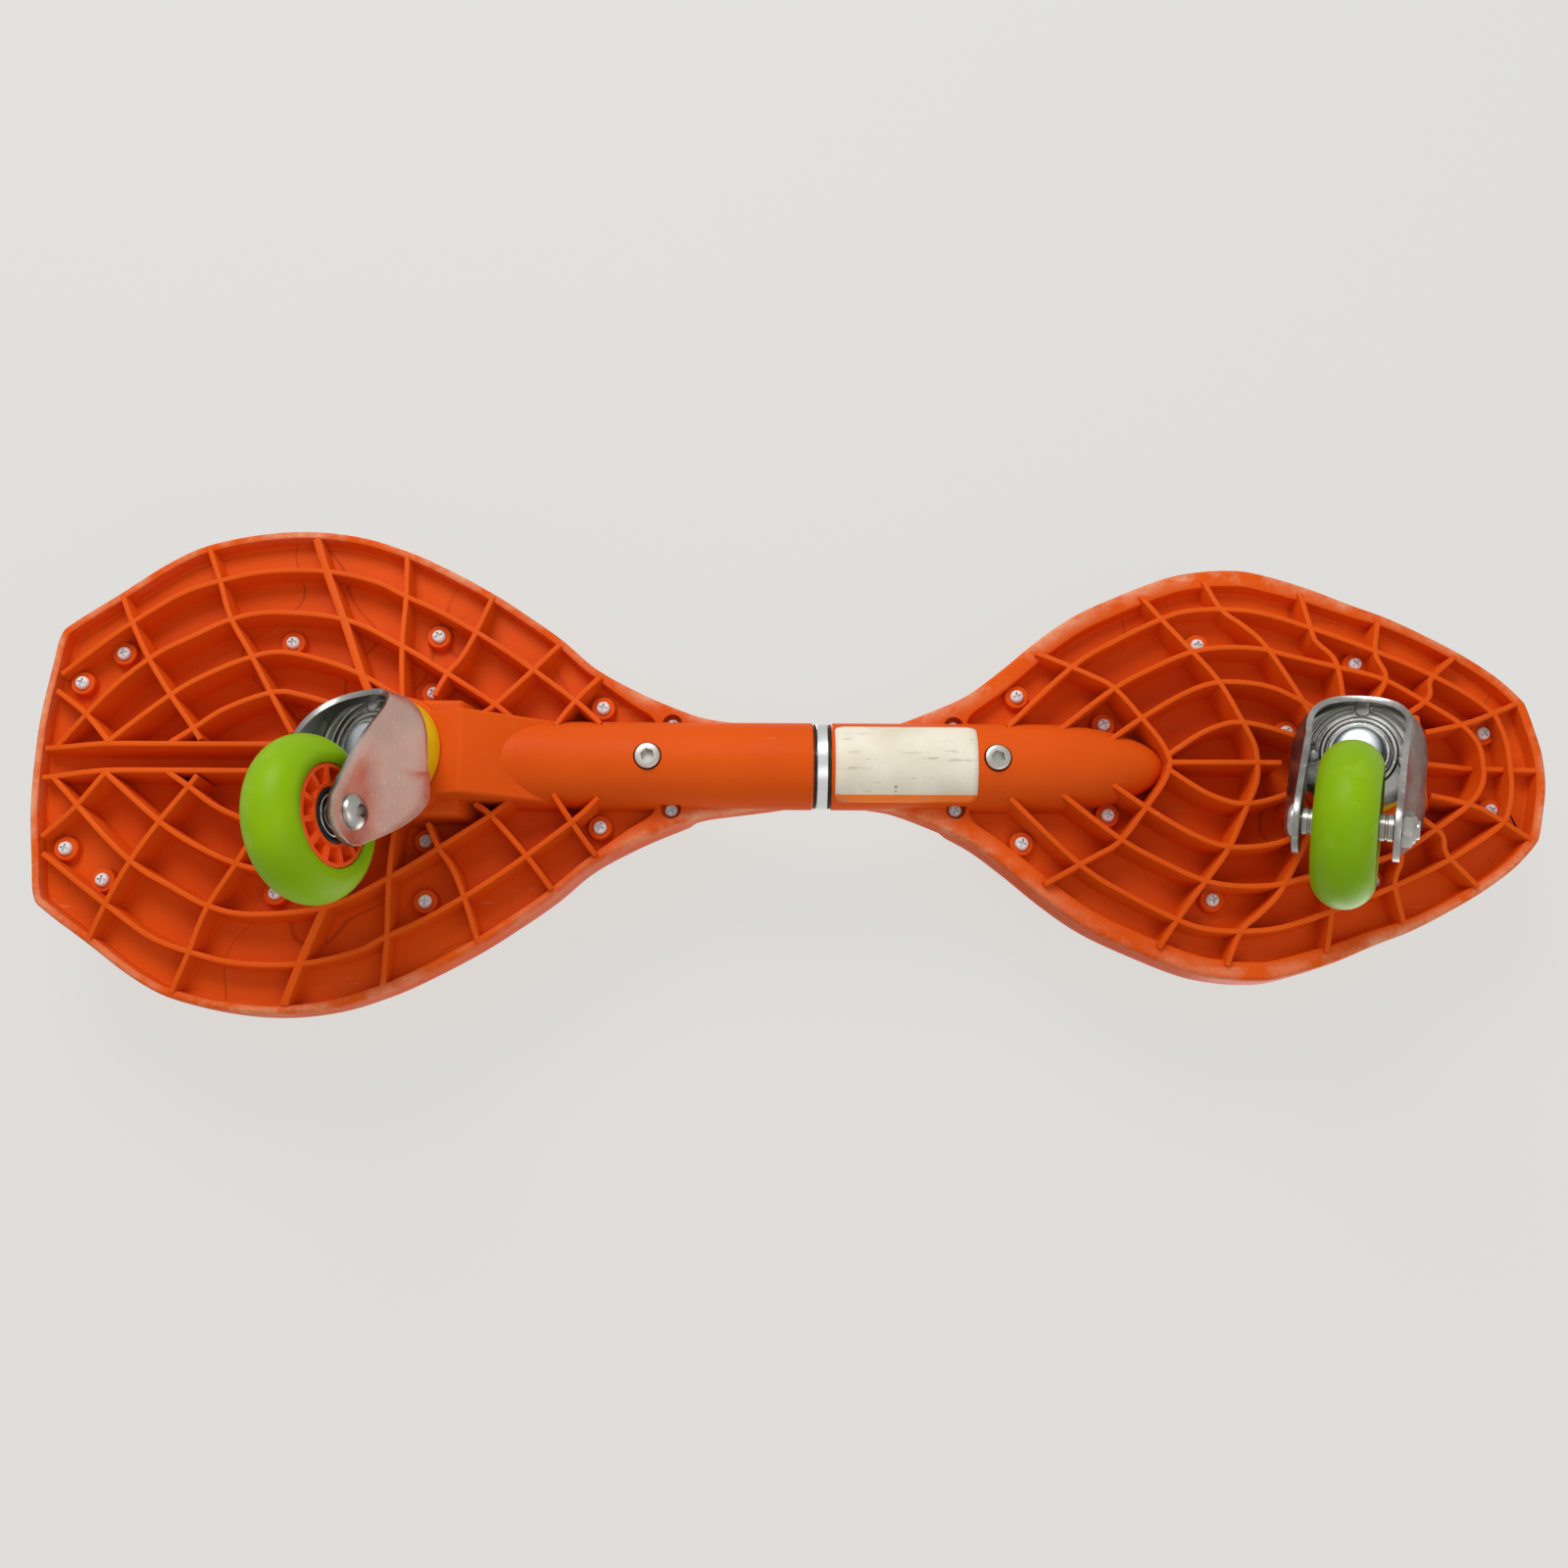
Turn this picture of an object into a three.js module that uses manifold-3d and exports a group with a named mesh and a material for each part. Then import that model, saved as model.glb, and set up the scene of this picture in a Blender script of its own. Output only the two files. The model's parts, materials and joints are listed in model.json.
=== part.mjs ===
// Caster board for children: two moulded decks on a torsion tube, each on one inclined caster
// Lengths in millimetres, +Z up, +X towards the nose, origin on the ground under the middle

import * as THREE from 'three';
import { mergeVertices } from 'three/addons/utils/BufferGeometryUtils.js';
import Module from 'manifold-3d';

const wasm = await Module();
wasm.setup();

// Overall sizes, measured along X from the joint between the decks
const rearReach = 351;
const frontReach = 328;
const rearHalfWidth = 111;
const frontHalfWidth = 95.3;

// Heights from the underside of the deck panel, which is level zero while the board is built
const panelThickness = 3;
const rimDepth = 8;
const domeDepth = 21;
const topPlateThickness = 3;
const lipHeight = 5;
const lipWidth = 4;
const rearPlateStart = 50;
const frontPlateStart = 48;
const fitGap = 0.3;
const overrun = 5;

// Ribs and screw bosses under the decks
const ribThickness = 2.6;
const keyRibThickness = 3.8;
const ribRoot = 1;
const endFade = 42;
const bossRadius = 5.5;
const bossDepth = 4.5;
const screwRecessRadius = 4.5;
const screwHeadRadius = 3;
const screwHeadHeight = 2.2;
const screwShankRadius = 1.5;
const screwBite = 2;
const screwCrownShare = 0.7;
const rearNeckScrewPlace = 67;
const frontNeckScrewPlace = 60;
const rearNeckScrewSpread = 19.5;
const frontNeckScrewSpread = 19;
const rearNeckScrewMargin = 7;
const frontNeckScrewMargin = 6;

// Torsion tube, the sleeves that hold it and the joint in the middle
const tubeAxisDepth = 8;
const sleeveRadius = 19.5;
const sleeveStart = 3.9;
const tubeRadius = 13;
const tubeWall = 3;
const tubeRearLength = 98;
const tubeFrontLength = 62;
const tubeEndGap = 1;
const collarRadius = 19;
const collarLength = 5;
const gasketThickness = 0.8;
const bushWall = 2;
const bushLength = 16;
const barRadius = 6;
const barSetback = 6;
const barFrontLength = 98;
const crestLength = 92;
const crestNose = 18;
const rearSleeveLength = 144;
const frontSleeveLength = 98;
const frontSleeveTip = 54;
const clampBoltPlace = 76.6;
const clampHeadRadius = 5.6;
const clampHeadHeight = 4.6;
const clampRecessRadius = 6.2;
const clampRecessDepth = 4;
const clampShankRadius = 3;
const clampSocketRadius = 2.9;
const clampSocketDepth = 2.6;
const clampTubeReach = 1;

// Casters: the kingpin leans back, the wheel trails the kingpin
const kingpinTilt = THREE.MathUtils.degToRad(22);
const rearCasterPlace = 192.5;
const frontCasterInset = 96;
const crownDepth = 36;
const axleDrop = 43.5;
const axleTrail = 39;
const rearSwivel = THREE.MathUtils.degToRad(94);
const frontSwivel = THREE.MathUtils.degToRad(81);

// Fork, pressed from one sheet, with legs that draw in towards the axle
const forkSheet = 2.6;
const forkHalfWidth = 28.3;
const forkAxleHalfWidth = 20.5;
const forkArcShift = 4.7;
const forkSquareness = 2.6;
const skirtDepth = 9;
const forkShoulder = 25;
const forkEndRadius = 13.5;
const forkEndAngle = THREE.MathUtils.degToRad(-195);
const crownTailReach = 24;
const slotRadius = 19.6;
const slotWidth = 2;
const slotStart = THREE.MathUtils.degToRad(12);
const slotEnd = THREE.MathUtils.degToRad(78);

// Kingpin, swivel race and dust ring, stacked between the crown and the deck
const kingpinRadius = 5;
const kingpinHeadRadius = 11;
const kingpinHeadHeight = 6;
const kingpinHeadEdge = 1;
const kingpinTip = 1;
const kingpinNutRadius = 9.8;
const kingpinNutHeight = 8;
const seatHeight = 12.3;
const seatRadius = 27;
const seatFloor = 12;
const nutPocketRadius = 13;
const raceHoleRadius = 14;
const raceFlangeRadius = 22;
const raceSkirtDepth = 1.4;
const dustRingOuterRadius = 25;
const dustRingInnerRadius = 22.6;
const dustRingChamfer = 1;
const dustRingFoot = 1;
const swingGap = 1;

// Wedge blocks that carry the kingpin seats
const wedgeHalfWidth = 19;
const rearWedgeReach = 34;
const frontWedgeReach = 26;
const rearWedgeSlope = 0.6;
const frontWedgeSlope = 2.2;
const plinthHalfWidth = 25.5;
const plinthDepth = 24;
const rearPlinthReach = 42;
const frontPlinthReach = 24;

// Wheels on pairs of 8 mm bore bearings
const wheelRadius = 34.5;
const tyreHalfWidth = 12.8;
const tyreInnerRadius = 21;
const hubHalfWidth = 11.5;
const hubWebRadius = 9;
const pocketCount = 12;
const pocketInnerRadius = 13;
const pocketOuterRadius = 19.3;
const pocketDepth = 7;
const pocketWall = 2.3;
const bearingOuterRadius = 11;
const bearingInnerRadius = 4.2;
const bearingWidth = 7;
const axleRadius = 4;
const axleHeadRadius = 7.3;
const axleHeadHeight = 4.4;
const axleSocketRadius = 2.9;
const axleSocketDepth = 2.6;
const axleTip = 0.7;
const axleNutRadius = 7.5;
const axleNutHeight = 5.5;
const spacerRadius = 5.5;

// Outline of each deck as shares of its reach and half width, from the neck to the end corner
const rearOutlineShares = [
  [0.1, 0.183], [0.148, 0.205], [0.188, 0.248], [0.239, 0.32], [0.291, 0.414], [0.336, 0.536],
  [0.382, 0.64], [0.43, 0.739], [0.493, 0.847], [0.544, 0.919], [0.604, 0.977], [0.672, 1],
  [0.741, 0.982], [0.806, 0.932], [0.855, 0.851], [0.912, 0.721], [0.966, 0.6], [0.983, 0.54],
];
const rearEndShares = [[0.99, 0.4], [0.998, 0.2]];
const frontOutlineShares = [
  [0.1, 0.21], [0.152, 0.278], [0.201, 0.357], [0.25, 0.483], [0.299, 0.624], [0.348, 0.745],
  [0.402, 0.839], [0.485, 0.955], [0.537, 0.992], [0.579, 1], [0.616, 0.986], [0.683, 0.918],
  [0.747, 0.829], [0.799, 0.761], [0.857, 0.661], [0.902, 0.572], [0.945, 0.467], [0.976, 0.36],
  [0.984, 0.31],
];
const frontEndShares = [[0.992, 0.2], [0.998, 0.1]];

// Rim width along each deck: share of the reach and width of the rim face
const rearRimNeck = 8;
const rearRimSide = 4;
const frontRimNeck = 8.5;
const frontRimSide = 5;
const rimChangeShares = { rear: [0.2, 0.3], front: [0.62, 0.86] };

// Rib nets: long ribs are curves, cross ribs run from the rim inwards, all mirrored across Y
const rearLongShares = [
  [[0.974, 0.369], [0.886, 0.572], [0.829, 0.698], [0.781, 0.757], [0.721, 0.802], [0.644, 0.806],
    [0.578, 0.761], [0.538, 0.698], [0.487, 0.622], [0.407, 0.468], [0.313, 0.248], [0.28, 0.15]],
  [[0.97, 0.06], [0.929, 0.185], [0.855, 0.41], [0.803, 0.509], [0.755, 0.586], [0.701, 0.617],
    [0.61, 0.586], [0.536, 0.473], [0.476, 0.356], [0.413, 0.225], [0.38, 0.14]],
  [[0.892, 0.063], [0.821, 0.257], [0.774, 0.351], [0.722, 0.423], [0.684, 0.441], [0.632, 0.405],
    [0.581, 0.342], [0.52, 0.225]],
  [[0.815, 0.059], [0.786, 0.122], [0.749, 0.203], [0.692, 0.27], [0.655, 0.257], [0.6, 0.207],
    [0.56, 0.18]],
];
const rearCrossShares = [
  [[0.978, 0.3], [0.929, 0.185], [0.892, 0.063]],
  [[0.908, 0.715], [0.884, 0.572], [0.855, 0.414], [0.822, 0.261], [0.792, 0.135], [0.778, 0.072]],
  [[0.8, 0.915], [0.778, 0.757], [0.758, 0.595], [0.726, 0.432], [0.698, 0.279], [0.665, 0.1]],
  [[0.542, 0.9], [0.537, 0.694], [0.536, 0.473], [0.53, 0.24]],
  [[0.427, 0.715], [0.444, 0.545], [0.459, 0.432], [0.476, 0.356], [0.49, 0.26]],
  [[0.338, 0.505], [0.369, 0.378], [0.413, 0.225], [0.433, 0.18]],
  [[0.284, 0.37], [0.313, 0.248], [0.336, 0.14]],
];
const rearKeyRibShares = [[0.661, 0.96], [0.641, 0.797], [0.613, 0.586], [0.584, 0.351], [0.57, 0.26]];
const rearSpineShares = [[0.985, 0.06], [0.87, 0.054], [0.7, 0.054], [0.57, 0.054]];

const frontLongShares = [
  [[0.252, 0.17], [0.346, 0.477], [0.41, 0.614], [0.474, 0.724], [0.512, 0.766], [0.5625, 0.776],
    [0.616, 0.756], [0.686, 0.677], [0.768, 0.567], [0.845, 0.441], [0.919, 0.278], [0.934, 0.2],
    [0.941, 0.1], [0.942, 0]],
  [[0.31, 0.12], [0.396, 0.352], [0.462, 0.477], [0.509, 0.546], [0.552, 0.572], [0.605, 0.567],
    [0.648, 0.53], [0.704, 0.483], [0.771, 0.42], [0.826, 0.304], [0.872, 0.189], [0.893, 0.09],
    [0.896, 0]],
  [[0.38, 0.08], [0.431, 0.205], [0.492, 0.331], [0.535, 0.388], [0.575, 0.394], [0.613, 0.372],
    [0.643, 0.325], [0.68, 0.25]],
  [[0.465, 0.03], [0.509, 0.131], [0.54, 0.178], [0.564, 0.194], [0.598, 0.178], [0.65, 0.12]],
];
const frontCrossShares = [
  [[0.299, 0.56], [0.346, 0.472], [0.369, 0.43], [0.399, 0.367], [0.434, 0.215], [0.46, 0.09],
    [0.47, 0]],
  [[0.45, 0.85], [0.476, 0.714], [0.509, 0.562], [0.543, 0.404], [0.57, 0.21], [0.585, 0.09],
    [0.588, 0]],
  [[0.54, 0.93], [0.558, 0.777], [0.585, 0.693], [0.613, 0.588], [0.649, 0.357], [0.67, 0.2]],
  [[0.675, 0.87], [0.683, 0.65], [0.689, 0.598], [0.71, 0.504], [0.713, 0.3]],
  [[0.782, 0.73], [0.768, 0.556], [0.777, 0.425], [0.75, 0.28]],
  [[0.887, 0.56], [0.841, 0.425], [0.832, 0.325], [0.79, 0.22]],
  [[0.968, 0.33], [0.915, 0.247], [0.875, 0.194], [0.82, 0.15]],
];
const frontTailSpineShares = [[0.47, 0], [0.62, 0]];
const noseSpineShares = [[0.985, 0], [0.88, 0], [0.79, 0]];
const noseSpineDepthShares = [0.35, 0.5, 1];

// Places of the screws on bosses, mirrored across Y, as shares of the reach and half width
const rearScrewShares = [
  [0.281, 0.248], [0.497, 0.55], [0.685, 0.518], [0.901, 0.468], [0.951, 0.342],
];
const frontScrewShares = [
  [0.273, 0.357], [0.392, 0.22], [0.529, 0.619], [0.921, 0.189],
];

// Steps round curved shapes
const outlineSteps = 30;
const fineSteps = 22;
const roundSteps = 16;
const smallSteps = 12;
const tinySteps = 6;
const tyreSteps = 26;
const bossSteps = 8;
const crestSteps = 4;
const slotSteps = 5;
const domeSteps = 4;
const treadSteps = 10;
const forkEndSteps = 10;
const forkCurveSteps = 5;
const hexSides = 6;
const rearRibSteps = [15, 13, 8, 6];
const frontRibSteps = [16, 14, 8, 6];

// Derived places
const jointX = (rearReach - frontReach) / 2;
const collarHalf = collarLength / 2;
const sleeveBore = tubeRadius + fitGap;
const bushRadius = tubeRadius + fitGap + bushWall;
const frontBore = bushRadius + fitGap;
const panelTop = panelThickness;
const plateBottom = panelTop + fitGap;
const plateTop = plateBottom + topPlateThickness;
const wheelTilt = Math.sin(kingpinTilt) * Math.sin(rearSwivel);
const treadCentreRadius = wheelRadius - tyreHalfWidth;
const wheelSupport = treadCentreRadius * Math.sqrt(1 - wheelTilt ** 2) + tyreHalfWidth;
const rearWheelHeight = axleDrop * Math.cos(kingpinTilt)
  - axleTrail * Math.sin(kingpinTilt) * Math.cos(rearSwivel);
const groundLevel = crownDepth + rearWheelHeight + wheelSupport;

// Colours and finishes
const colours = {
  deck: 0xd6501e, deckTop: 0xcf4c1c, tyre: 0x8cbe0a, hub: 0xf04a10, zinc: 0xb9bab8,
  steel: 0x9b9c9c, alloy: 0xc9cccf, yellow: 0xe8c000, rubber: 0x1d1d1f, plastic: 0xe6e2d8,
};

function finish(colour, roughness, metalness) {
  return new THREE.MeshStandardMaterial({ color: colour, roughness, metalness });
}

const materials = {
  deck: finish(colours.deck, 0.5, 0),
  deckTop: finish(colours.deckTop, 0.6, 0),
  tyre: finish(colours.tyre, 0.45, 0),
  hub: finish(colours.hub, 0.4, 0),
  zinc: finish(colours.zinc, 0.35, 0.9),
  steel: finish(colours.steel, 0.35, 0.95),
  alloy: finish(colours.alloy, 0.3, 0.9),
  yellow: finish(colours.yellow, 0.4, 0),
  rubber: finish(colours.rubber, 0.8, 0),
  plastic: finish(colours.plastic, 0.5, 0),
};

// Solids from geometries and back
function solid(geometry) {
  const bare = geometry.clone();
  bare.deleteAttribute('normal');
  bare.deleteAttribute('uv');
  const merged = mergeVertices(bare);
  const vertProperties = new Float32Array(merged.attributes.position.array);
  const triVerts = new Uint32Array(merged.index.array);
  return new wasm.Manifold(new wasm.Mesh({ numProp: 3, vertProperties, triVerts }));
}

function geometryOf(body) {
  const { vertProperties, triVerts } = body.getMesh();
  const geometry = new THREE.BufferGeometry();
  geometry.setAttribute('position', new THREE.BufferAttribute(vertProperties, 3));
  geometry.setIndex(new THREE.BufferAttribute(triVerts, 1));
  return geometry;
}

function piece(name, shape, material) {
  const geometry = shape.isBufferGeometry ? shape : geometryOf(shape);
  const mesh = new THREE.Mesh(geometry, material);
  mesh.name = name;
  return mesh;
}

function group(...children) {
  const set = new THREE.Group();
  set.add(...children);
  return set;
}

// Prism over a plan outline, between two levels
function prism(points, bottom, top, holes = []) {
  const shape = new THREE.Shape(points);
  holes.forEach((hole) => shape.holes.push(new THREE.Path(hole)));
  const geometry = new THREE.ExtrudeGeometry(shape, { depth: top - bottom, bevelEnabled: false });
  geometry.translate(0, 0, bottom);
  return solid(geometry);
}

// Slab over an outline drawn in the XZ plane, centred across Y
function slabAcross(points, halfWidth) {
  const shape = new THREE.Shape(points);
  const geometry = new THREE.ExtrudeGeometry(shape, { depth: 2 * halfWidth, bevelEnabled: false });
  geometry.translate(0, 0, -halfWidth);
  geometry.rotateX(Math.PI / 2);
  return solid(geometry);
}

// Body of revolution about Z from pairs of radius and height
function turned(pairs, steps) {
  const points = pairs.map(([radius, height]) => new THREE.Vector2(radius, height));
  return new THREE.LatheGeometry(points, steps);
}

function rod(radius, bottom, top, steps) {
  return turned([[0, bottom], [radius, bottom], [radius, top], [0, top]], steps).rotateX(Math.PI / 2);
}

function ring(inner, outer, bottom, top, steps) {
  const profile = [[inner, bottom], [outer, bottom], [outer, top], [inner, top], [inner, bottom]];
  return turned(profile, steps).rotateX(Math.PI / 2);
}

// The same bodies lying along X, from the joint outwards in the direction of one deck
function alongX(geometry, way) {
  return geometry.rotateY(way * Math.PI / 2);
}

function nutBody(radius, bore, bottom, top) {
  const hexagon = rod(radius, bottom, top, hexSides);
  return solid(hexagon).subtract(solid(rod(bore, bottom - overrun, top + overrun, smallSteps)));
}

// One deck: way is -1 towards the tail and +1 towards the nose
const rearDeck = {
  way: -1, reach: rearReach, halfWidth: rearHalfWidth,
  outlineShares: rearOutlineShares, endShares: rearEndShares,
  rimNeck: rearRimNeck, rimSide: rearRimSide, rimChange: rimChangeShares.rear,
  wedgeReach: rearWedgeReach, wedgeSlope: rearWedgeSlope, plinthReach: rearPlinthReach, headSide: 1,
  screwShares: rearScrewShares, casterPlace: rearCasterPlace, plateStart: rearPlateStart,
  neckScrew: new THREE.Vector2(rearNeckScrewPlace, rearNeckScrewSpread),
  pocketStart: rearNeckScrewPlace + rearNeckScrewMargin,
};
const frontDeck = {
  way: 1, reach: frontReach, halfWidth: frontHalfWidth,
  outlineShares: frontOutlineShares, endShares: frontEndShares,
  rimNeck: frontRimNeck, rimSide: frontRimSide, rimChange: rimChangeShares.front,
  wedgeReach: frontWedgeReach, wedgeSlope: frontWedgeSlope, plinthReach: frontPlinthReach, headSide: -1,
  screwShares: frontScrewShares, casterPlace: frontReach - frontCasterInset, plateStart: frontPlateStart,
  neckScrew: new THREE.Vector2(frontNeckScrewPlace, frontNeckScrewSpread),
  pocketStart: frontNeckScrewPlace + frontNeckScrewMargin,
};

function deckPoint(deck, [lengthShare, widthShare]) {
  return new THREE.Vector2(lengthShare * deck.reach, widthShare * deck.halfWidth);
}

// Half outline from the neck to the middle of the end, in distance from the joint and half width
function halfOutline(deck) {
  const side = new THREE.SplineCurve(deck.outlineShares.map((share) => deckPoint(deck, share)));
  const end = deck.endShares.map((share) => deckPoint(deck, share));
  return [...side.getPoints(outlineSteps / 2), ...end];
}

function rimWidthAt(deck, distance) {
  const [start, stop] = deck.rimChange;
  const step = THREE.MathUtils.smoothstep(distance / deck.reach, start, stop);
  return THREE.MathUtils.lerp(deck.rimNeck, deck.rimSide, step);
}

function insetOutline(deck, outline, widthAt) {
  return outline.map((point, index) => {
    const before = outline[Math.max(index - 1, 0)];
    const after = outline[Math.min(index + 1, outline.length - 1)];
    const along = after.clone().sub(before).normalize();
    const inward = new THREE.Vector2(along.y, -along.x);
    return point.clone().addScaledVector(inward, widthAt(point.x));
  });
}

// Closed plan outline on both sides of the centre line, from a start distance outwards
function fullOutline(deck, half, start, endReach) {
  const kept = half.filter((point) => point.x > start);
  const first = half.findIndex((point) => point.x > start);
  const from = half[Math.max(first - 1, 0)];
  const share = first > 0 ? (start - from.x) / (half[first].x - from.x) : 0;
  const edge = from.clone().lerp(half[first], share);
  const side = [edge, ...kept];
  const nose = new THREE.Vector2(endReach, 0);
  const mirrored = [...side].reverse().map((point) => new THREE.Vector2(point.x, -point.y));
  return [...side, nose, ...mirrored].map((point) => new THREE.Vector2(deck.way * point.x, point.y));
}

function halfWidthAt(deck, distance) {
  const outline = halfOutline(deck);
  const next = outline.findIndex((point) => point.x > distance);
  if (next < 1) return next === 0 ? outline[0].y : outline[outline.length - 1].y;
  const share = (distance - outline[next - 1].x) / (outline[next].x - outline[next - 1].x);
  return THREE.MathUtils.lerp(outline[next - 1].y, outline[next].y, share);
}

// Rib edges follow a dome: deepest on the centre line, down to the rim at the sides and the end
function ribDepthAt(deck, point) {
  const across = Math.min(Math.abs(point.y) / halfWidthAt(deck, point.x), 1);
  const fade = THREE.MathUtils.smoothstep(deck.reach - point.x, 0, endFade);
  return rimDepth + (domeDepth - rimDepth) * (1 - across ** 2) * fade;
}

// Upright wall along a path on the deck, its lower edge following a list of depths
function wall(path, depths, thickness) {
  const count = path.length;
  const positions = [];
  path.forEach((point, index) => {
    const before = path[Math.max(index - 1, 0)];
    const after = path[Math.min(index + 1, count - 1)];
    const along = after.clone().sub(before).normalize();
    const left = new THREE.Vector2(-along.y, along.x).multiplyScalar(thickness / 2);
    const sides = [point.clone().sub(left), point.clone().add(left)];
    sides.forEach((side) => {
      positions.push(side.x, side.y, -depths[index]);
      positions.push(side.x, side.y, ribRoot);
    });
  });
  const faces = [];
  const quad = (a, b, c, d) => faces.push(a, b, c, a, c, d);
  for (let index = 0; index < count - 1; index += 1) {
    const near = 4 * index;
    const far = near + 4;
    quad(near, far, far + 1, near + 1);
    quad(near + 2, near + 3, far + 3, far + 2);
    quad(near, near + 2, far + 2, far);
    quad(near + 1, far + 1, far + 3, near + 3);
  }
  const last = 4 * (count - 1);
  quad(0, 1, 3, 2);
  quad(last, last + 2, last + 3, last + 1);
  const geometry = new THREE.BufferGeometry();
  geometry.setAttribute('position', new THREE.Float32BufferAttribute(positions, 3));
  geometry.setIndex(faces);
  return solid(geometry);
}

function onDeck(deck, points, side) {
  return points.map((point) => new THREE.Vector2(deck.way * point.x, side * point.y));
}

// A rib on both sides of the deck; curved ribs are sampled along a spline
function ribPair(deck, shares, thickness, steps) {
  const knots = shares.map((share) => deckPoint(deck, share));
  const points = steps ? new THREE.SplineCurve(knots).getPoints(steps) : knots;
  const depths = points.map((point) => ribDepthAt(deck, point));
  return [1, -1].map((side) => wall(onDeck(deck, points, side), depths, thickness));
}

function middleRib(deck, shares, depths) {
  const points = shares.map((share) => deckPoint(deck, share));
  const edge = depths || points.map((point) => ribDepthAt(deck, point));
  return wall(onDeck(deck, points, 1), edge, ribThickness);
}

function rearRibs(deck) {
  const long = rearLongShares.flatMap(
    (shares, index) => ribPair(deck, shares, ribThickness, rearRibSteps[index]),
  );
  const cross = rearCrossShares.flatMap((shares) => ribPair(deck, shares, ribThickness));
  const key = ribPair(deck, rearKeyRibShares, keyRibThickness);
  const spine = ribPair(deck, rearSpineShares, ribThickness);
  return [...long, ...cross, ...key, ...spine];
}

function frontRibs(deck) {
  const long = frontLongShares.flatMap(
    (shares, index) => ribPair(deck, shares, ribThickness, frontRibSteps[index]),
  );
  const cross = frontCrossShares.flatMap((shares) => ribPair(deck, shares, ribThickness));
  const noseDepths = noseSpineDepthShares.map((share) => share * (crownDepth - seatHeight));
  const spine = middleRib(deck, frontTailSpineShares);
  const nose = middleRib(deck, noseSpineShares, noseDepths);
  return [...long, ...cross, spine, nose];
}

// Kingpin seat: a round boss and a wedge block on a plinth, cut square to the leaning kingpin
function casterOrigin(deck) {
  return new THREE.Vector3(deck.way * deck.casterPlace, 0, -crownDepth);
}

function leaning(geometry, deck) {
  const place = casterOrigin(deck);
  return solid(geometry.rotateY(kingpinTilt).translate(place.x, place.y, place.z));
}

function wedge(deck) {
  const place = casterOrigin(deck);
  const seat = new THREE.Vector2(place.x, place.z)
    .addScaledVector(new THREE.Vector2(Math.sin(kingpinTilt), Math.cos(kingpinTilt)), seatHeight);
  const downhill = new THREE.Vector2(Math.cos(kingpinTilt), -Math.sin(kingpinTilt));
  const back = seat.clone().addScaledVector(downhill, -seatRadius / 2);
  const toe = seat.clone().addScaledVector(downhill, deck.wedgeReach);
  const rise = ribRoot - toe.y;
  const profile = [back, toe, new THREE.Vector2(toe.x + rise / deck.wedgeSlope, ribRoot)];
  profile.push(new THREE.Vector2(back.x, ribRoot));
  const block = slabAcross(profile, wedgeHalfWidth);
  const plinth = slabAcross([
    new THREE.Vector2(seat.x, -plinthDepth), new THREE.Vector2(place.x + deck.plinthReach, -plinthDepth),
    new THREE.Vector2(place.x + deck.plinthReach, ribRoot), new THREE.Vector2(seat.x, ribRoot),
  ], plinthHalfWidth);
  const boss = leaning(rod(seatRadius, seatHeight, seatHeight + 2 * crownDepth, fineSteps), deck);
  const lid = 2 * crownDepth;
  const above = slabAcross([
    new THREE.Vector2(place.x - lid, ribRoot), new THREE.Vector2(place.x + lid, ribRoot),
    new THREE.Vector2(place.x + lid, lid), new THREE.Vector2(place.x - lid, lid),
  ], lid);
  return block.add(plinth).add(boss.subtract(above));
}

// Room in the ribs for the dust ring and for the crown as it swings
function casterRoom(deck) {
  const crownReach = Math.hypot(forkShoulder, forkHalfWidth) + swingGap;
  const ringReach = dustRingOuterRadius + swingGap;
  const crownRoom = leaning(rod(crownReach, -2 * crownDepth, swingGap, fineSteps), deck);
  return crownRoom.add(leaning(rod(ringReach, -2 * crownDepth, seatHeight, fineSteps), deck));
}

// Sleeve crest that shows above the deck, a bullet lying along X
function bullet(deck, radius, start, length, nose, steps) {
  const profile = [[0, start], [radius, start]];
  for (let step = 0; step <= crestSteps; step += 1) {
    const angle = (step / crestSteps) * (Math.PI / 2);
    const girth = step < crestSteps ? radius * Math.cos(angle) : 0;
    profile.push([girth, length + nose * Math.sin(angle)]);
  }
  const geometry = turned(profile, steps).rotateX(Math.PI / 2);
  return solid(alongX(geometry, deck.way).translate(0, 0, -tubeAxisDepth));
}

function tubeRod(deck, radius, start, end, steps) {
  const geometry = alongX(rod(radius, start, end, steps), deck.way);
  return solid(geometry.translate(0, 0, -tubeAxisDepth));
}

function belowPanelTop(deck, body) {
  const far = 2 * deck.reach;
  const lid = prism([
    new THREE.Vector2(-far, -far), new THREE.Vector2(far, -far),
    new THREE.Vector2(far, far), new THREE.Vector2(-far, far),
  ], panelTop, far);
  return body.subtract(lid);
}

function sleeve(deck) {
  const crest = bullet(deck, sleeveRadius, sleeveStart, crestLength, crestNose, fineSteps);
  const under = deck.way < 0
    ? tubeRod(deck, sleeveRadius, sleeveStart, rearSleeveLength, fineSteps)
    : bullet(deck, sleeveRadius, sleeveStart, frontSleeveLength, frontSleeveTip, fineSteps);
  return crest.add(belowPanelTop(deck, under));
}

function upright(radius, bottom, top, x, y, steps) {
  return solid(rod(radius, bottom, top, steps).translate(x, y, 0));
}

// The two screws nearest the joint sit in recesses in the solid neck, the others on bosses
function mirroredPlaces(deck, point) {
  return [...onDeck(deck, [point], 1), ...onDeck(deck, [point], -1)];
}

function bossPlaces(deck) {
  return deck.screwShares.flatMap((share) => mirroredPlaces(deck, deckPoint(deck, share)));
}

function neckPlaces(deck) {
  return mirroredPlaces(deck, deck.neckScrew);
}

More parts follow.
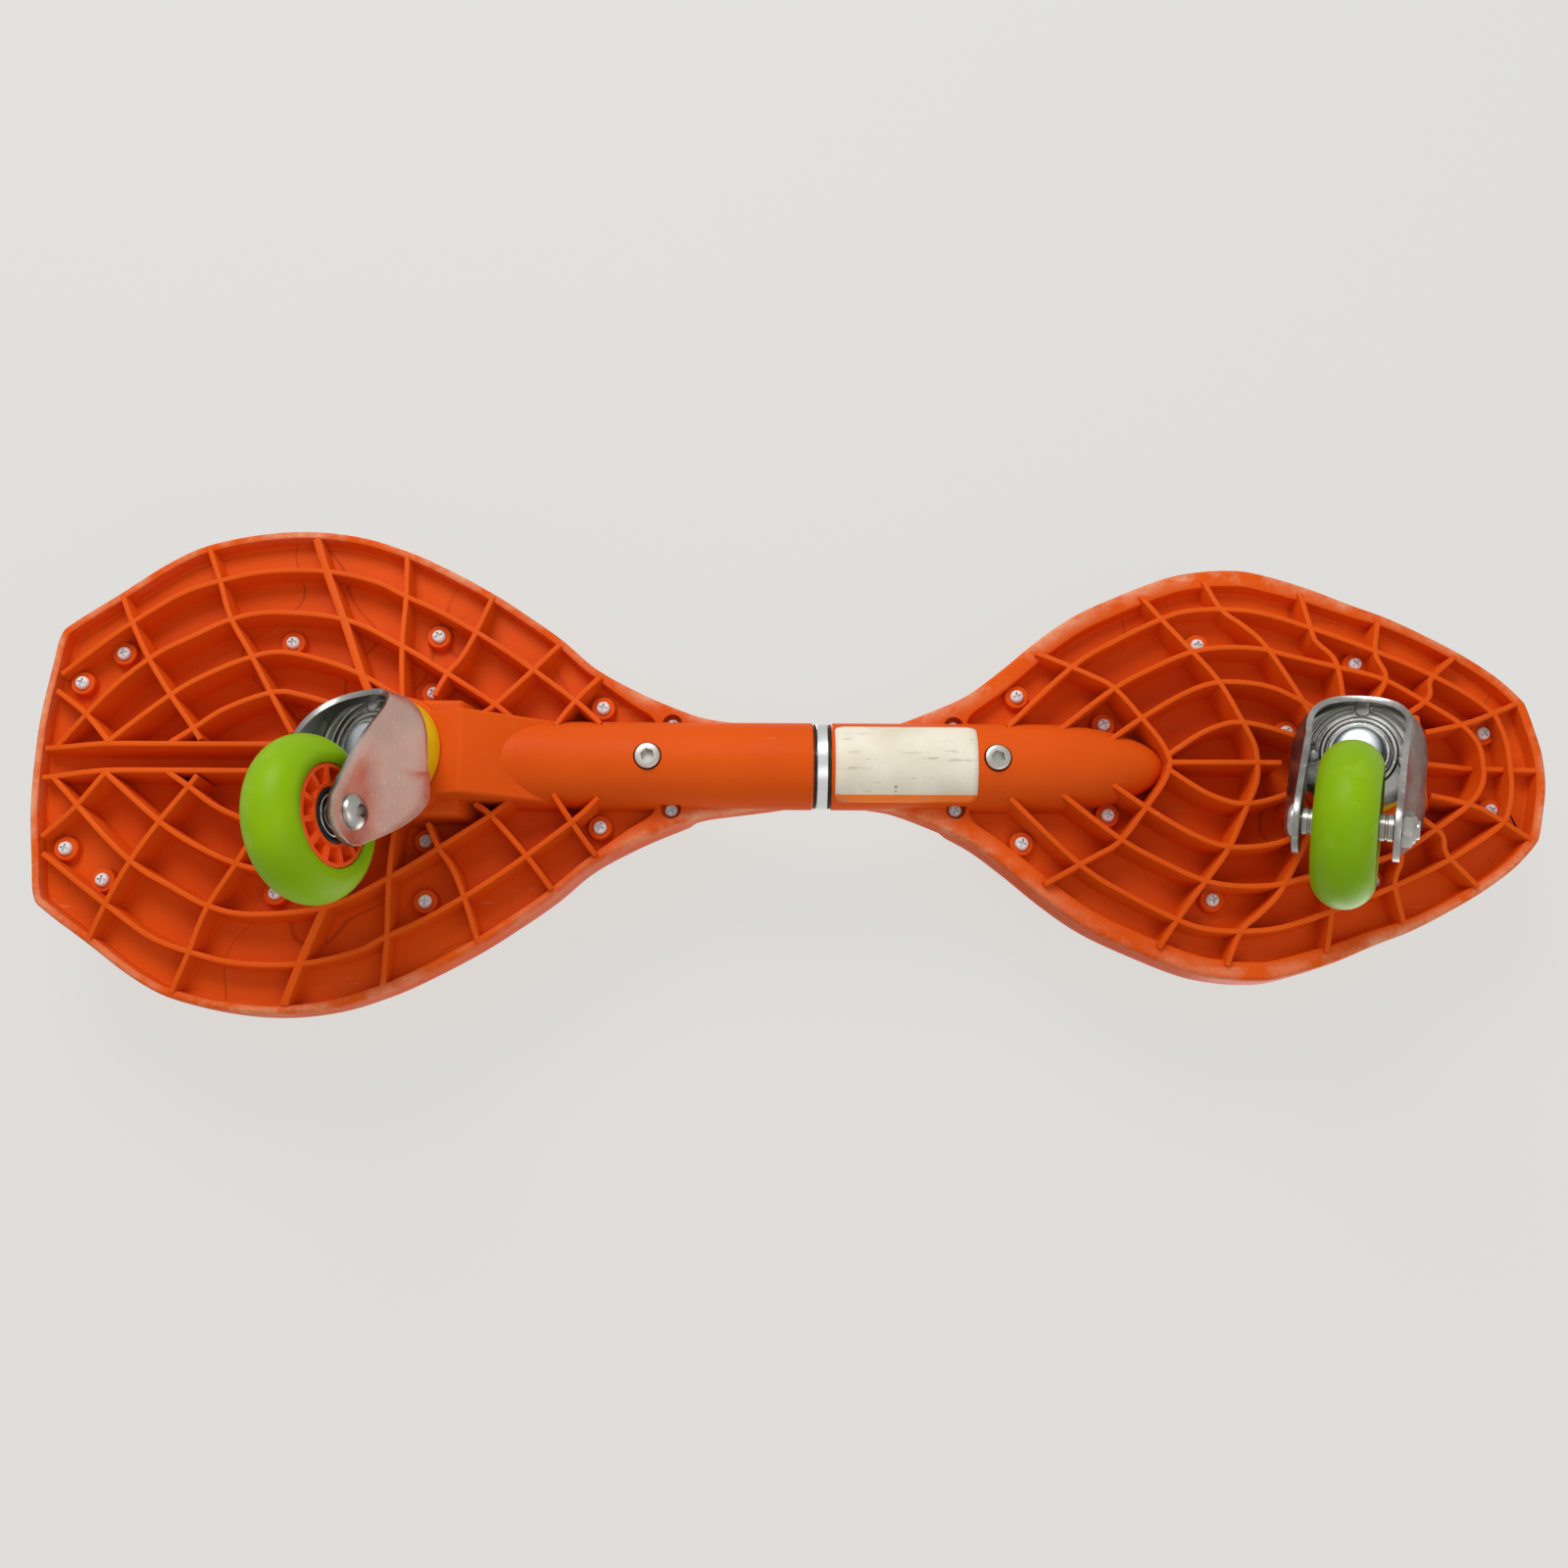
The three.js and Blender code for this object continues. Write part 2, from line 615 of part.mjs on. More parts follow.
function screwPlaces(deck) {
  return [...neckPlaces(deck), ...bossPlaces(deck)];
}

function screwSeat(deck, place) {
  return Math.abs(place.x) === deck.neckScrew.x ? rimDepth - bossDepth : bossDepth;
}

function deckFrame(deck, ribs) {
  const outer = halfOutline(deck);
  const inner = insetOutline(deck, outer, (distance) => rimWidthAt(deck, distance));
  const endInset = deck.reach - deck.rimSide;
  const casing = prism(fullOutline(deck, outer, 0, deck.reach), -rimDepth, panelTop);
  const hollow = prism(fullOutline(deck, inner, deck.pocketStart, endInset), -rimDepth - overrun, 0);
  let body = casing.subtract(hollow);
  ribs.forEach((rib) => { body = body.add(rib); });
  body = body.subtract(casterRoom(deck)).add(sleeve(deck)).add(wedge(deck));
  neckPlaces(deck).forEach((place) => {
    const low = -rimDepth - overrun;
    const seat = -screwSeat(deck, place);
    body = body.subtract(upright(screwRecessRadius, low, seat, place.x, place.y, bossSteps));
  });
  bossPlaces(deck).forEach((place) => {
    body = body.add(upright(bossRadius, -bossDepth, ribRoot, place.x, place.y, bossSteps));
  });
  screwPlaces(deck).forEach((place) => {
    const hole = upright(screwShankRadius + fitGap, -domeDepth, overrun, place.x, place.y, tinySteps);
    body = body.subtract(hole);
  });
  const boreRadius = deck.way < 0 ? sleeveBore : frontBore;
  const boreEnd = (deck.way < 0 ? tubeRearLength : tubeFrontLength) + tubeEndGap;
  body = body.subtract(tubeRod(deck, boreRadius, sleeveStart - overrun, boreEnd, fineSteps));
  if (deck.way > 0) {
    body = body.subtract(tubeRod(deck, barRadius + fitGap, 0, barFrontLength + fitGap, smallSteps));
  }
  return body.subtract(clampCut(deck)).subtract(kingpinCut(deck));
}

function clampCut(deck) {
  const bottom = -tubeAxisDepth - sleeveRadius;
  const low = bottom - overrun;
  const x = deck.way * clampBoltPlace;
  const recess = upright(clampRecessRadius, low, bottom + clampRecessDepth, x, 0, smallSteps);
  const hole = upright(clampShankRadius + fitGap, low, -tubeAxisDepth, x, 0, smallSteps);
  return recess.add(hole);
}

function kingpinCut(deck) {
  const hole = rod(kingpinRadius + fitGap, 0, seatHeight + seatFloor + overrun, smallSteps);
  const pocket = rod(nutPocketRadius, seatHeight + seatFloor, 2 * crownDepth, roundSteps);
  return leaning(hole, deck).add(leaning(pocket, deck));
}

// Riding plate: a panel with a raised lip, cut round the sleeve crest
function deckTop(deck) {
  const outer = halfOutline(deck);
  const inner = insetOutline(deck, outer, () => lipWidth);
  const border = fullOutline(deck, outer, deck.plateStart, deck.reach);
  const inside = fullOutline(deck, inner, deck.plateStart + lipWidth, deck.reach - lipWidth);
  const slab = prism(border, plateBottom, plateTop + lipHeight);
  const tray = prism(inside, plateTop, plateTop + lipHeight + overrun);
  const crest = bullet(deck, sleeveRadius + fitGap, 0, crestLength, crestNose + fitGap, fineSteps);
  let body = slab.subtract(tray).subtract(crest);
  screwPlaces(deck).forEach((place) => {
    const hole = upright(
      screwShankRadius + fitGap, 0, plateBottom + screwBite + fitGap, place.x, place.y, tinySteps,
    );
    body = body.subtract(hole);
  });
  return body;
}

function screw(deck, place) {
  const seat = -screwSeat(deck, place) - fitGap;
  const head = seat - screwHeadHeight;
  const profile = [
    [0, head], [screwHeadRadius * screwCrownShare, head],
    [screwHeadRadius, head + screwHeadHeight / 2],
    [screwHeadRadius, seat], [screwShankRadius, seat],
    [screwShankRadius, plateBottom + screwBite], [0, plateBottom + screwBite],
  ];
  return turned(profile, tinySteps).rotateX(Math.PI / 2).translate(place.x, place.y, 0);
}

function screws(deck, prefix) {
  return screwPlaces(deck).map((place, index) => {
    const name = `${prefix}_screw_${String(index + 1).padStart(2, '0')}`;
    return piece(name, screw(deck, place), materials.zinc);
  });
}

// Socket head bolt from below that clamps the sleeve on the tube or on the bar
function clampBolt(deck) {
  const seat = -tubeAxisDepth - sleeveRadius + clampRecessDepth - fitGap;
  const head = seat - clampHeadHeight;
  const reach = deck.way < 0 ? tubeWall + clampTubeReach - tubeRadius : barRadius / 2;
  const tip = reach - tubeAxisDepth;
  const profile = [
    [0, head + clampSocketDepth], [clampSocketRadius, head + clampSocketDepth],
    [clampSocketRadius, head], [clampHeadRadius, head], [clampHeadRadius, seat],
    [clampShankRadius, seat], [clampShankRadius, tip], [0, tip],
  ];
  const geometry = turned(profile, smallSteps).rotateX(Math.PI / 2);
  return geometry.translate(deck.way * clampBoltPlace, 0, 0);
}

// Torsion unit
function torsionTube() {
  const rearTube = tubeRod(rearDeck, tubeRadius, 0, tubeRearLength, fineSteps);
  const frontTube = tubeRod(frontDeck, tubeRadius, 0, tubeFrontLength, fineSteps);
  const collar = tubeRod(frontDeck, collarRadius, -collarHalf, collarHalf, fineSteps);
  const far = 2 * tubeRearLength;
  const bore = tubeRod(frontDeck, tubeRadius - tubeWall, -far, far, fineSteps);
  const bottom = -tubeAxisDepth - sleeveRadius;
  const hole = upright(
    clampShankRadius + fitGap, bottom, -tubeAxisDepth, -clampBoltPlace, 0, smallSteps,
  );
  return rearTube.add(frontTube).add(collar).subtract(bore).subtract(hole);
}

function torsionBar() {
  const bar = tubeRod(frontDeck, barRadius, barSetback - tubeRearLength, barFrontLength, smallSteps);
  const hole = upright(
    clampShankRadius + fitGap, -2 * sleeveRadius, sleeveRadius, clampBoltPlace, 0, smallSteps,
  );
  return bar.subtract(hole);
}

function tubeRing(inner, outer, start, end) {
  const geometry = alongX(ring(inner, outer, start, end, roundSteps), 1);
  return geometry.translate(0, 0, -tubeAxisDepth);
}

function gasket(way) {
  const near = collarHalf + fitGap;
  const far = near + gasketThickness;
  const ends = way > 0 ? [near, far] : [-far, -near];
  return tubeRing(sleeveBore, collarRadius, ...ends);
}

function bush(start) {
  return tubeRing(tubeRadius + fitGap, bushRadius, start, start + bushLength);
}

// Caster pieces, in a frame with the kingpin along Z, the wheel trailing towards -X, crown top at zero
function forkOutline(inset, halfWidth) {
  const radius = forkHalfWidth - inset;
  const across = halfWidth - inset;
  const tail = -(axleTrail + forkEndRadius + overrun);
  const points = [new THREE.Vector2(tail, across), new THREE.Vector2(tail, -across)];
  const steps = fineSteps / 2;
  for (let step = 0; step <= steps; step += 1) {
    const angle = (step / steps) * Math.PI - Math.PI / 2;
    const out = Math.abs(Math.cos(angle)) ** (2 / forkSquareness);
    const side = Math.sign(Math.sin(angle)) * Math.abs(Math.sin(angle)) ** (2 / forkSquareness);
    points.push(new THREE.Vector2(-forkArcShift + radius * out, across * side));
  }
  return points;
}

// Solid through convex outlines at rising levels
function stacked(outlines, levels) {
  const count = outlines[0].length;
  const positions = outlines.flatMap((outline, row) => outline.flatMap(({ x, y }) => [x, y, levels[row]]));
  const faces = [];
  for (let row = 0; row < outlines.length - 1; row += 1) {
    for (let index = 0; index < count; index += 1) {
      const near = row * count + index;
      const next = row * count + ((index + 1) % count);
      faces.push(near, next, next + count, near, next + count, near + count);
    }
  }
  const top = (outlines.length - 1) * count;
  for (let index = 1; index < count - 1; index += 1) {
    faces.push(0, index + 1, index, top, top + index, top + index + 1);
  }
  const geometry = new THREE.BufferGeometry();
  geometry.setAttribute('position', new THREE.Float32BufferAttribute(positions, 3));
  geometry.setIndex(faces);
  return solid(geometry);
}

function forkWalls(inset, bottom, top) {
  const widths = [forkAxleHalfWidth, forkAxleHalfWidth, forkHalfWidth, forkHalfWidth];
  const outlines = widths.map((halfWidth) => forkOutline(inset, halfWidth));
  return stacked(outlines, [bottom, forkEndRadius - axleDrop, -forkSheet, top]);
}

// Side view of the fork plates: leading skirt, slanted free edge, round end about the axle
function forkSide() {
  const leadEdge = forkHalfWidth - forkArcShift;
  const shape = new THREE.Shape();
  shape.moveTo(leadEdge + overrun, 0);
  shape.lineTo(leadEdge + overrun, -skirtDepth);
  shape.lineTo(leadEdge, -skirtDepth);
  const down = new THREE.Vector2(-axleTrail, -axleDrop);
  const from = new THREE.Vector2(leadEdge, -skirtDepth);
  const span = down.clone().sub(from);
  const slant = Math.atan2(span.y, span.x) + Math.asin(forkEndRadius / span.length());
  const startAngle = slant + Math.PI / 2;
  for (let step = 0; step <= forkEndSteps; step += 1) {
    const angle = THREE.MathUtils.lerp(startAngle, forkEndAngle, step / forkEndSteps);
    shape.lineTo(down.x + forkEndRadius * Math.cos(angle), down.y + forkEndRadius * Math.sin(angle));
  }
  shape.quadraticCurveTo(-forkShoulder - forkEndRadius, -2 * forkSheet, -forkShoulder, 0);
  return shape.getPoints(forkCurveSteps);
}

function arcSlot(side) {
  const points = [];
  [slotRadius - slotWidth / 2, slotRadius + slotWidth / 2].forEach((radius, edge) => {
    for (let step = 0; step <= slotSteps; step += 1) {
      const share = edge ? 1 - step / slotSteps : step / slotSteps;
      const angle = side * THREE.MathUtils.lerp(slotStart, slotEnd, share);
      points.push(new THREE.Vector2(radius * Math.cos(angle), radius * Math.sin(angle)));
    }
  });
  return prism(points, -forkSheet - overrun, overrun);
}

function fork() {
  const deep = axleDrop + forkEndRadius + overrun;
  const inside = forkWalls(forkSheet, -deep - overrun, overrun);
  const walls = forkWalls(0, -deep, 0).subtract(inside);
  const plates = walls.intersect(slabAcross(forkSide(), forkHalfWidth + overrun));
  const crownPlan = prism(forkOutline(forkSheet / 2, forkHalfWidth), -forkSheet, 0);
  const crownRound = solid(rod(forkHalfWidth + forkArcShift, -forkSheet - overrun, overrun, fineSteps)
    .translate(forkHalfWidth + forkArcShift - crownTailReach, 0, 0));
  let body = plates.add(crownPlan.intersect(crownRound));
  body = body.subtract(solid(rod(raceHoleRadius, -overrun - forkSheet, overrun, fineSteps)));
  body = body.subtract(arcSlot(1)).subtract(arcSlot(-1));
  return body.subtract(acrossRod(axleRadius + fitGap, -2 * forkHalfWidth, 2 * forkHalfWidth));
}

// Rod along the axle, in the caster frame
function acrossRod(radius, start, end) {
  return solid(onAxle(rod(radius, start, end, smallSteps)));
}

function onAxle(geometry) {
  return geometry.rotateX(-Math.PI / 2).translate(-axleTrail, 0, -axleDrop);
}

function domeProfile(radius, base, height) {
  const points = [];
  for (let step = 0; step <= domeSteps; step += 1) {
    const angle = (step / domeSteps) * (Math.PI / 2);
    points.push([radius * Math.sin(angle), base - height * Math.cos(angle)]);
  }
  return points;
}

function kingpin() {
  const seat = -raceSkirtDepth - forkSheet - fitGap;
  const tip = seatHeight + seatFloor + kingpinNutHeight + 2 * fitGap + kingpinTip;
  const domeHeight = kingpinHeadHeight - kingpinHeadEdge;
  const profile = [
    ...domeProfile(kingpinHeadRadius, seat - kingpinHeadEdge, domeHeight),
    [kingpinHeadRadius, seat], [kingpinRadius, seat], [kingpinRadius, tip], [0, tip],
  ];
  return turned(profile, roundSteps).rotateX(Math.PI / 2);
}

function kingpinNut() {
  const bottom = seatHeight + seatFloor + fitGap;
  return nutBody(kingpinNutRadius, kingpinRadius + fitGap, bottom, bottom + kingpinNutHeight);
}

// Race: a flanged bearing cup pressed in the crown
function swivelRace() {
  const low = -forkSheet - raceSkirtDepth;
  const bore = kingpinRadius + fitGap;
  const outer = raceHoleRadius - fitGap;
  const top = seatHeight - fitGap;
  const profile = [
    [bore, low], [outer, low], [outer, fitGap], [raceFlangeRadius, fitGap],
    [raceFlangeRadius, top], [bore, top], [bore, low],
  ];
  return turned(profile, roundSteps).rotateX(Math.PI / 2);
}

function dustRing() {
  const low = dustRingFoot;
  const top = seatHeight - fitGap;
  const profile = [
    [dustRingInnerRadius, low], [dustRingOuterRadius - dustRingChamfer, low],
    [dustRingOuterRadius, low + dustRingChamfer], [dustRingOuterRadius, top],
    [dustRingInnerRadius, top], [dustRingInnerRadius, low],
  ];
  return turned(profile, fineSteps).rotateX(Math.PI / 2);
}

// The axle bolt goes in from one side or the other
function facing(body, side) {
  const geometry = geometryOf(body);
  return solid(onAxle(side > 0 ? geometry : geometry.rotateX(Math.PI)));
}

function axleBolt(side) {
  const seat = forkAxleHalfWidth + fitGap;
  const tip = -forkAxleHalfWidth - axleNutHeight - 2 * fitGap - axleTip;
  const dome = domeProfile(axleHeadRadius, -seat, axleHeadHeight).map(([r, h]) => [r, -h]);
  const profile = [[0, tip], [axleRadius, tip], [axleRadius, seat], ...dome.reverse()];
  const bolt = solid(turned(profile, roundSteps).rotateX(Math.PI / 2));
  const top = seat + axleHeadHeight;
  const key = solid(rod(axleSocketRadius, top - axleSocketDepth, top + overrun, hexSides));
  return facing(bolt.subtract(key), side);
}

function axleNut(side) {
  const near = -forkAxleHalfWidth - fitGap;
  return facing(nutBody(axleNutRadius, axleRadius + fitGap, near - axleNutHeight, near), side);
}

function spacer(side) {
  const near = hubHalfWidth + fitGap;
  const far = forkAxleHalfWidth - forkSheet - fitGap;
  const ends = side > 0 ? [near, far] : [-far, -near];
  return onAxle(ring(axleRadius + fitGap, spacerRadius, ...ends, smallSteps));
}

// Tyre section: a round tread on flat sides
function tyre() {
  const inner = tyreInnerRadius + fitGap;
  const profile = [[inner, -hubHalfWidth]];
  for (let step = 1; step < treadSteps; step += 1) {
    const angle = (step / treadSteps - 0.5) * Math.PI;
    const radius = treadCentreRadius + tyreHalfWidth * Math.cos(angle);
    profile.push([radius, tyreHalfWidth * Math.sin(angle)]);
  }
  profile.push([inner, hubHalfWidth], [inner, -hubHalfWidth]);
  return onAxle(turned(profile, tyreSteps).rotateX(Math.PI / 2));
}

function pocketCutter(side) {
  const arc = (2 * Math.PI) / pocketCount;
  const half = arc / 2;
  let cutter = null;
  for (let index = 0; index < pocketCount; index += 1) {
    const points = [];
    [[pocketInnerRadius, -1], [pocketOuterRadius, -1], [pocketOuterRadius, 1], [pocketInnerRadius, 1]]
      .forEach(([radius, edge]) => {
        const angle = index * arc + edge * (half - pocketWall / 2 / radius);
        points.push(new THREE.Vector2(radius * Math.cos(angle), radius * Math.sin(angle)));
      });
    const face = side * hubHalfWidth;
    const floor = face - side * pocketDepth;
    const ends = [floor, face + side * overrun].sort((a, b) => a - b);
    const pocket = prism(points, ...ends);
    cutter = cutter ? cutter.add(pocket) : pocket;
  }
  return cutter;
}

function hub() {
  const seat = hubHalfWidth - bearingWidth - fitGap;
  const seatBore = bearingOuterRadius + fitGap;
  const profile = [
    [hubWebRadius, -seat], [seatBore, -seat], [seatBore, -hubHalfWidth],
    [tyreInnerRadius, -hubHalfWidth], [tyreInnerRadius, hubHalfWidth], [seatBore, hubHalfWidth],
    [seatBore, seat], [hubWebRadius, seat], [hubWebRadius, -seat],
  ];
  const core = solid(turned(profile, 2 * pocketCount).rotateX(Math.PI / 2));
  return solid(onAxle(geometryOf(core.subtract(pocketCutter(1)).subtract(pocketCutter(-1)))));
}

function bearing(side) {
  const outerFace = hubHalfWidth;
  const innerFace = hubHalfWidth - bearingWidth;
  const ends = side > 0 ? [innerFace, outerFace] : [-outerFace, -innerFace];
  return onAxle(ring(bearingInnerRadius, bearingOuterRadius, ...ends, roundSteps));
}

function caster(prefix, deck, swivel) {
  const named = (part, shape, material) => piece(`${prefix}_${part}`, shape, material);
  const turning = group(
    named('fork', fork(), materials.steel),
    named('swivel_race', swivelRace(), materials.zinc),
    named('axle_bolt', axleBolt(deck.headSide), materials.zinc),
    named('axle_nut', axleNut(deck.headSide), materials.zinc),
    named('axle_spacer_inner', spacer(-1), materials.alloy),
    named('axle_spacer_outer', spacer(1), materials.alloy),
    named('tyre', tyre(), materials.tyre),
    named('wheel_hub', hub(), materials.hub),
    named('wheel_bearing_inner', bearing(-1), materials.steel),
    named('wheel_bearing_outer', bearing(1), materials.steel),
  );
  turning.rotation.z = -swivel;
  const fixed = group(
    named('kingpin', kingpin(), materials.zinc),
    named('kingpin_nut', kingpinNut(), materials.zinc),
    named('dust_ring', dustRing(), materials.yellow),
  );
  const whole = group(turning, fixed);
  whole.rotation.y = kingpinTilt;
  whole.position.copy(casterOrigin(deck));
  return whole;
}

const rearHalf = group(
  piece('rear_deck_frame', deckFrame(rearDeck, rearRibs(rearDeck)), materials.deck),
  piece('rear_deck_top', deckTop(rearDeck), materials.deckTop),
  piece('rear_clamp_bolt', clampBolt(rearDeck), materials.zinc),
  piece('torsion_tube', torsionTube(), materials.alloy),
  piece('rear_joint_gasket', gasket(-1), materials.rubber),
  ...screws(rearDeck, 'rear'),
  caster('rear', rearDeck, rearSwivel),
);

const frontHalf = group(
  piece('front_deck_frame', deckFrame(frontDeck, frontRibs(frontDeck)), materials.deck),
  piece('front_deck_top', deckTop(frontDeck), materials.deckTop),
  piece('front_clamp_bolt', clampBolt(frontDeck), materials.zinc),
  piece('front_joint_gasket', gasket(1), materials.rubber),
  piece('torsion_bar', torsionBar(), materials.steel),
  piece('joint_bush', bush(sleeveStart + 2 * fitGap), materials.plastic),
  piece('end_bush', bush(tubeFrontLength - bushLength), materials.plastic),
  ...screws(frontDeck, 'front'),
  caster('front', frontDeck, frontSwivel),
);

const board = group(rearHalf, frontHalf);
board.position.set(jointX, 0, groundLevel);

export default group(board);
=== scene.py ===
# Child's caster board seen from below: two ribbed decks, a torsion joint and two swivel casters
# Lengths are millimetres: X from the joint between the decks, Z from the underside of the deck panels
# Profiles pair a radius, or a distance across or in from an edge, with a height
# Angles are degrees unless their name says radians

import json
import math
import random
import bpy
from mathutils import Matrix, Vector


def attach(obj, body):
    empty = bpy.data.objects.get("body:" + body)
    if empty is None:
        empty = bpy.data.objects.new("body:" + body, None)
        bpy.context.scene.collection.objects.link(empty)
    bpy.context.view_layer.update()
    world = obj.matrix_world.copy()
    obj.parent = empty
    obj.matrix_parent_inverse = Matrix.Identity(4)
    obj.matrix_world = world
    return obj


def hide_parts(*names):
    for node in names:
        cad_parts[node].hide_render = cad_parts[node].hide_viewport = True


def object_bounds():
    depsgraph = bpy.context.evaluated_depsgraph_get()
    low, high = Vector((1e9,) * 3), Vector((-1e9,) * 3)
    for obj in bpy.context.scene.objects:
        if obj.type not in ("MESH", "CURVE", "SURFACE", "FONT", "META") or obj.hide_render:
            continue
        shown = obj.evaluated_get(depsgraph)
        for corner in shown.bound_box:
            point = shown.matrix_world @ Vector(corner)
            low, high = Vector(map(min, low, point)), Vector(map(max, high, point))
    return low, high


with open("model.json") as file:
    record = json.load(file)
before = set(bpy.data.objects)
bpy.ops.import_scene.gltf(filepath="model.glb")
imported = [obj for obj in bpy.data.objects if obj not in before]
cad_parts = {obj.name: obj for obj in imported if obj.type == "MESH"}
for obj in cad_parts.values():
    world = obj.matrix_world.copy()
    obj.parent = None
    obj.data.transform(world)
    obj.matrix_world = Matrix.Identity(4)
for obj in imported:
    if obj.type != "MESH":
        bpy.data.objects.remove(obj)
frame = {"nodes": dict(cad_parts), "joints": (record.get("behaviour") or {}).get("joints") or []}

from types import SimpleNamespace

import bmesh
import bpy
from mathutils import Matrix, Vector, kdtree
from mathutils.geometry import tessellate_polygon

MM = 0.001
WELD = 0.001
OVERRUN = 1
SMOOTH_ANGLE = 38
BEVEL_ANGLE = 40
cad_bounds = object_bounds()
dice = random.Random(7)

# Decks
PANEL = 3
RIM_DEPTH = 8
DOME_DEPTH = 21
END_FADE = 42
PLATE_BOTTOM = 3.3
PLATE_TOP = 6.3
LIP_TOP = 11.3
LIP_WIDTH = 4
POCKET_CORNER = 5
PLATE_CORNER = 14
RIB = 2.6
KEY_RIB = 3.8
RIB_ROOT = 0.8
RIB_ROOT_DRAFT = 0.25
RIB_TIP_DRAFT = 0.1
RIB_FOOT_PROFILE = [(1.4, RIB_ROOT), (0.5, -0.3), (0.1, -1.2)]
RIB_TIP_PROFILE = [(0, 0.6), (-0.15, 0.18), (-0.5, 0)]
RIM_OUTER_PROFILE = [(0, PANEL), (0.1, -4.5), (0.3, -6.4), (0.7, -7.4), (1.7, -RIM_DEPTH)]
RIM_INNER_PROFILE = [
    (-0.7, -RIM_DEPTH), (-0.2, -7.75), (0, -7.1), (0.45, -1.6), (0.85, -0.6), (1.8, 0),
]
LIP_OUTER_PROFILE = [(0, PLATE_BOTTOM), (0, LIP_TOP - 1.6), (0.45, LIP_TOP - 0.5), (1.4, LIP_TOP)]
LIP_INNER_PROFILE = [
    (-1, LIP_TOP), (-0.3, LIP_TOP - 0.4), (0, LIP_TOP - 1.2), (0.4, PLATE_TOP + 1.2),
    (0.8, PLATE_TOP + 0.4), (1.8, PLATE_TOP),
]
BOSS_RADIUS = 5.5
BOSS_DEPTH = 4.5
BOSS_PROFILE = [
    (0, RIB_ROOT), (BOSS_RADIUS + 0.9, RIB_ROOT), (BOSS_RADIUS + 0.4, -0.4), (BOSS_RADIUS + 0.1, -1.2),
    (BOSS_RADIUS - 0.1, 0.5 - BOSS_DEPTH), (BOSS_RADIUS - 0.5, -BOSS_DEPTH), (0, -BOSS_DEPTH),
]
NECK_RECESS_RADIUS = 4.5
NECK_RECESS_DEPTH = 13
SCREW_PROFILE = [
    (0, -2.2), (1.3, -2.15), (2.2, -1.9), (2.75, -1.35), (3, -0.6), (3, 0), (1.5, 0), (1.5, 9), (0, 9),
]
SCREW_SINK = 0.1
SCREW_TURN_RADIANS = 3
CROSS_HALF_LENGTH = 1.9
CROSS_HALF_WIDTH = 0.5
CROSS_HEIGHTS = (-3, -0.5)
FLOW_DEPTHS = (1.5, 0.5)
WEAR_REACH = 5
WEAR_FADE = 3
WEAR_DEPTH_FADE = 5
WEAR_HIGHEST = 1
WEAR_LOWEST = RIM_DEPTH + 0.5
STUD_PITCH = 9
STUD_RADIUS = 1.7
STUD_HEIGHT = 0.7
STUD_MARGIN = 9
STUD_SHOULDER = 0.25
STUD_SINK = 0.1
STUD_TOP_SHARE = 0.72
STUD_ROW_SHARE = 0.866
STUD_COLUMNS = range(-14, 15)
STUD_END_GAP = 14
STUD_START_GAP = 12
STUD_CREST_GAP = 6
STUD_CREST_HALF = 20

# Torsion joint
TUBE_AXIS = 8
SLEEVE_RADIUS = 19.5
SLEEVE_START = 3.9
SKIRT_START = 36
CREST_LENGTH = 92
CREST_NOSE = 18
TUBE_RADIUS = 13
TUBE_BORE = 10
TUBE_REAR = 98
TUBE_FRONT = 62
COLLAR_RADIUS = 19
COLLAR_HALF = 2.5
GAP = 0.3
CLAMP_PLACE = 76.6
CLAMP_HEAD = 5.6
CLAMP_RECESS = 6.2
CLAMP_DEPTH = 4
CLAMP_SHANK = 3
CLAMP_SHANK_LENGTH = 6
CLAMP_HEAD_HEIGHT = 4.6
CLAMP_SOCKET = 3.2
CLAMP_SOCKET_HEIGHTS = (-6, -1.2)
BUSH_WALL = 2
CHAMFER = 0.3
CREST_CHAMFER = 0.7
SLEEVE_LAP = 0.02
SLEEVE_ARC_STEPS = 48
NOSE_STEPS = 14
NOSE_STEP_RADIANS = 0.1
NOSE_TIP_SHARE = 0.03
GASKET_THICKNESS = 0.8

# Casters, in a frame with the kingpin along Z, the wheel towards -X and the top of the crown at zero
SEAT_HEIGHT = 12.3
SEAT_RADIUS = 27
RING_RADIUS = 25
RING_BORE = 22.6
RACE_RADIUS = 22
WEDGE_HALF_WIDTH = 19
PLINTH_HALF_WIDTH = 26
PLINTH_DEPTH = 24
PLINTH_SLOPE = 8
PLINTH_EDGE = 2.2
WEDGE_EDGE = 1.6
SEAT_EDGE_PROFILE = [(1.6, 0), (0.5, 0.5), (0, 1.6)]
ROOM_GAP = 1
ROOM_DEPTH = 80
SHEET = 2.6
FORK_HALF_WIDTH = 28.3
FORK_AXLE_HALF = 20.5
FORK_SHIFT = 4.7
FORK_SQUARENESS = 2.6
FORK_SKIRT = 9
FORK_SHOULDER = 25
FORK_END = 13.5
FORK_BULGE = 2.5
FORK_BEND = 3.2
FORK_END_ANGLE = 165
FORK_EDGE_STARTS = (-17, -20, -23)
BEND_GAP = 0.2
LEG_STEPS = 5
CORNER_START = 100
CORNER_STEP_RADIANS = 0.002
TAIL_STEPS = 20
ARC_STEPS = (8, 14, 6, 14, 8)
BEND_ANGLES = (0, 30, 60, 90)
CROWN_REACH = 24
CROWN_HOLE = 14
CROWN_RING = 16
SLOT_INNER = 18.6
SLOT_OUTER = 20.6
SLOT_ANGLES = (12, 78)
SLOT_BEAD = 0.5
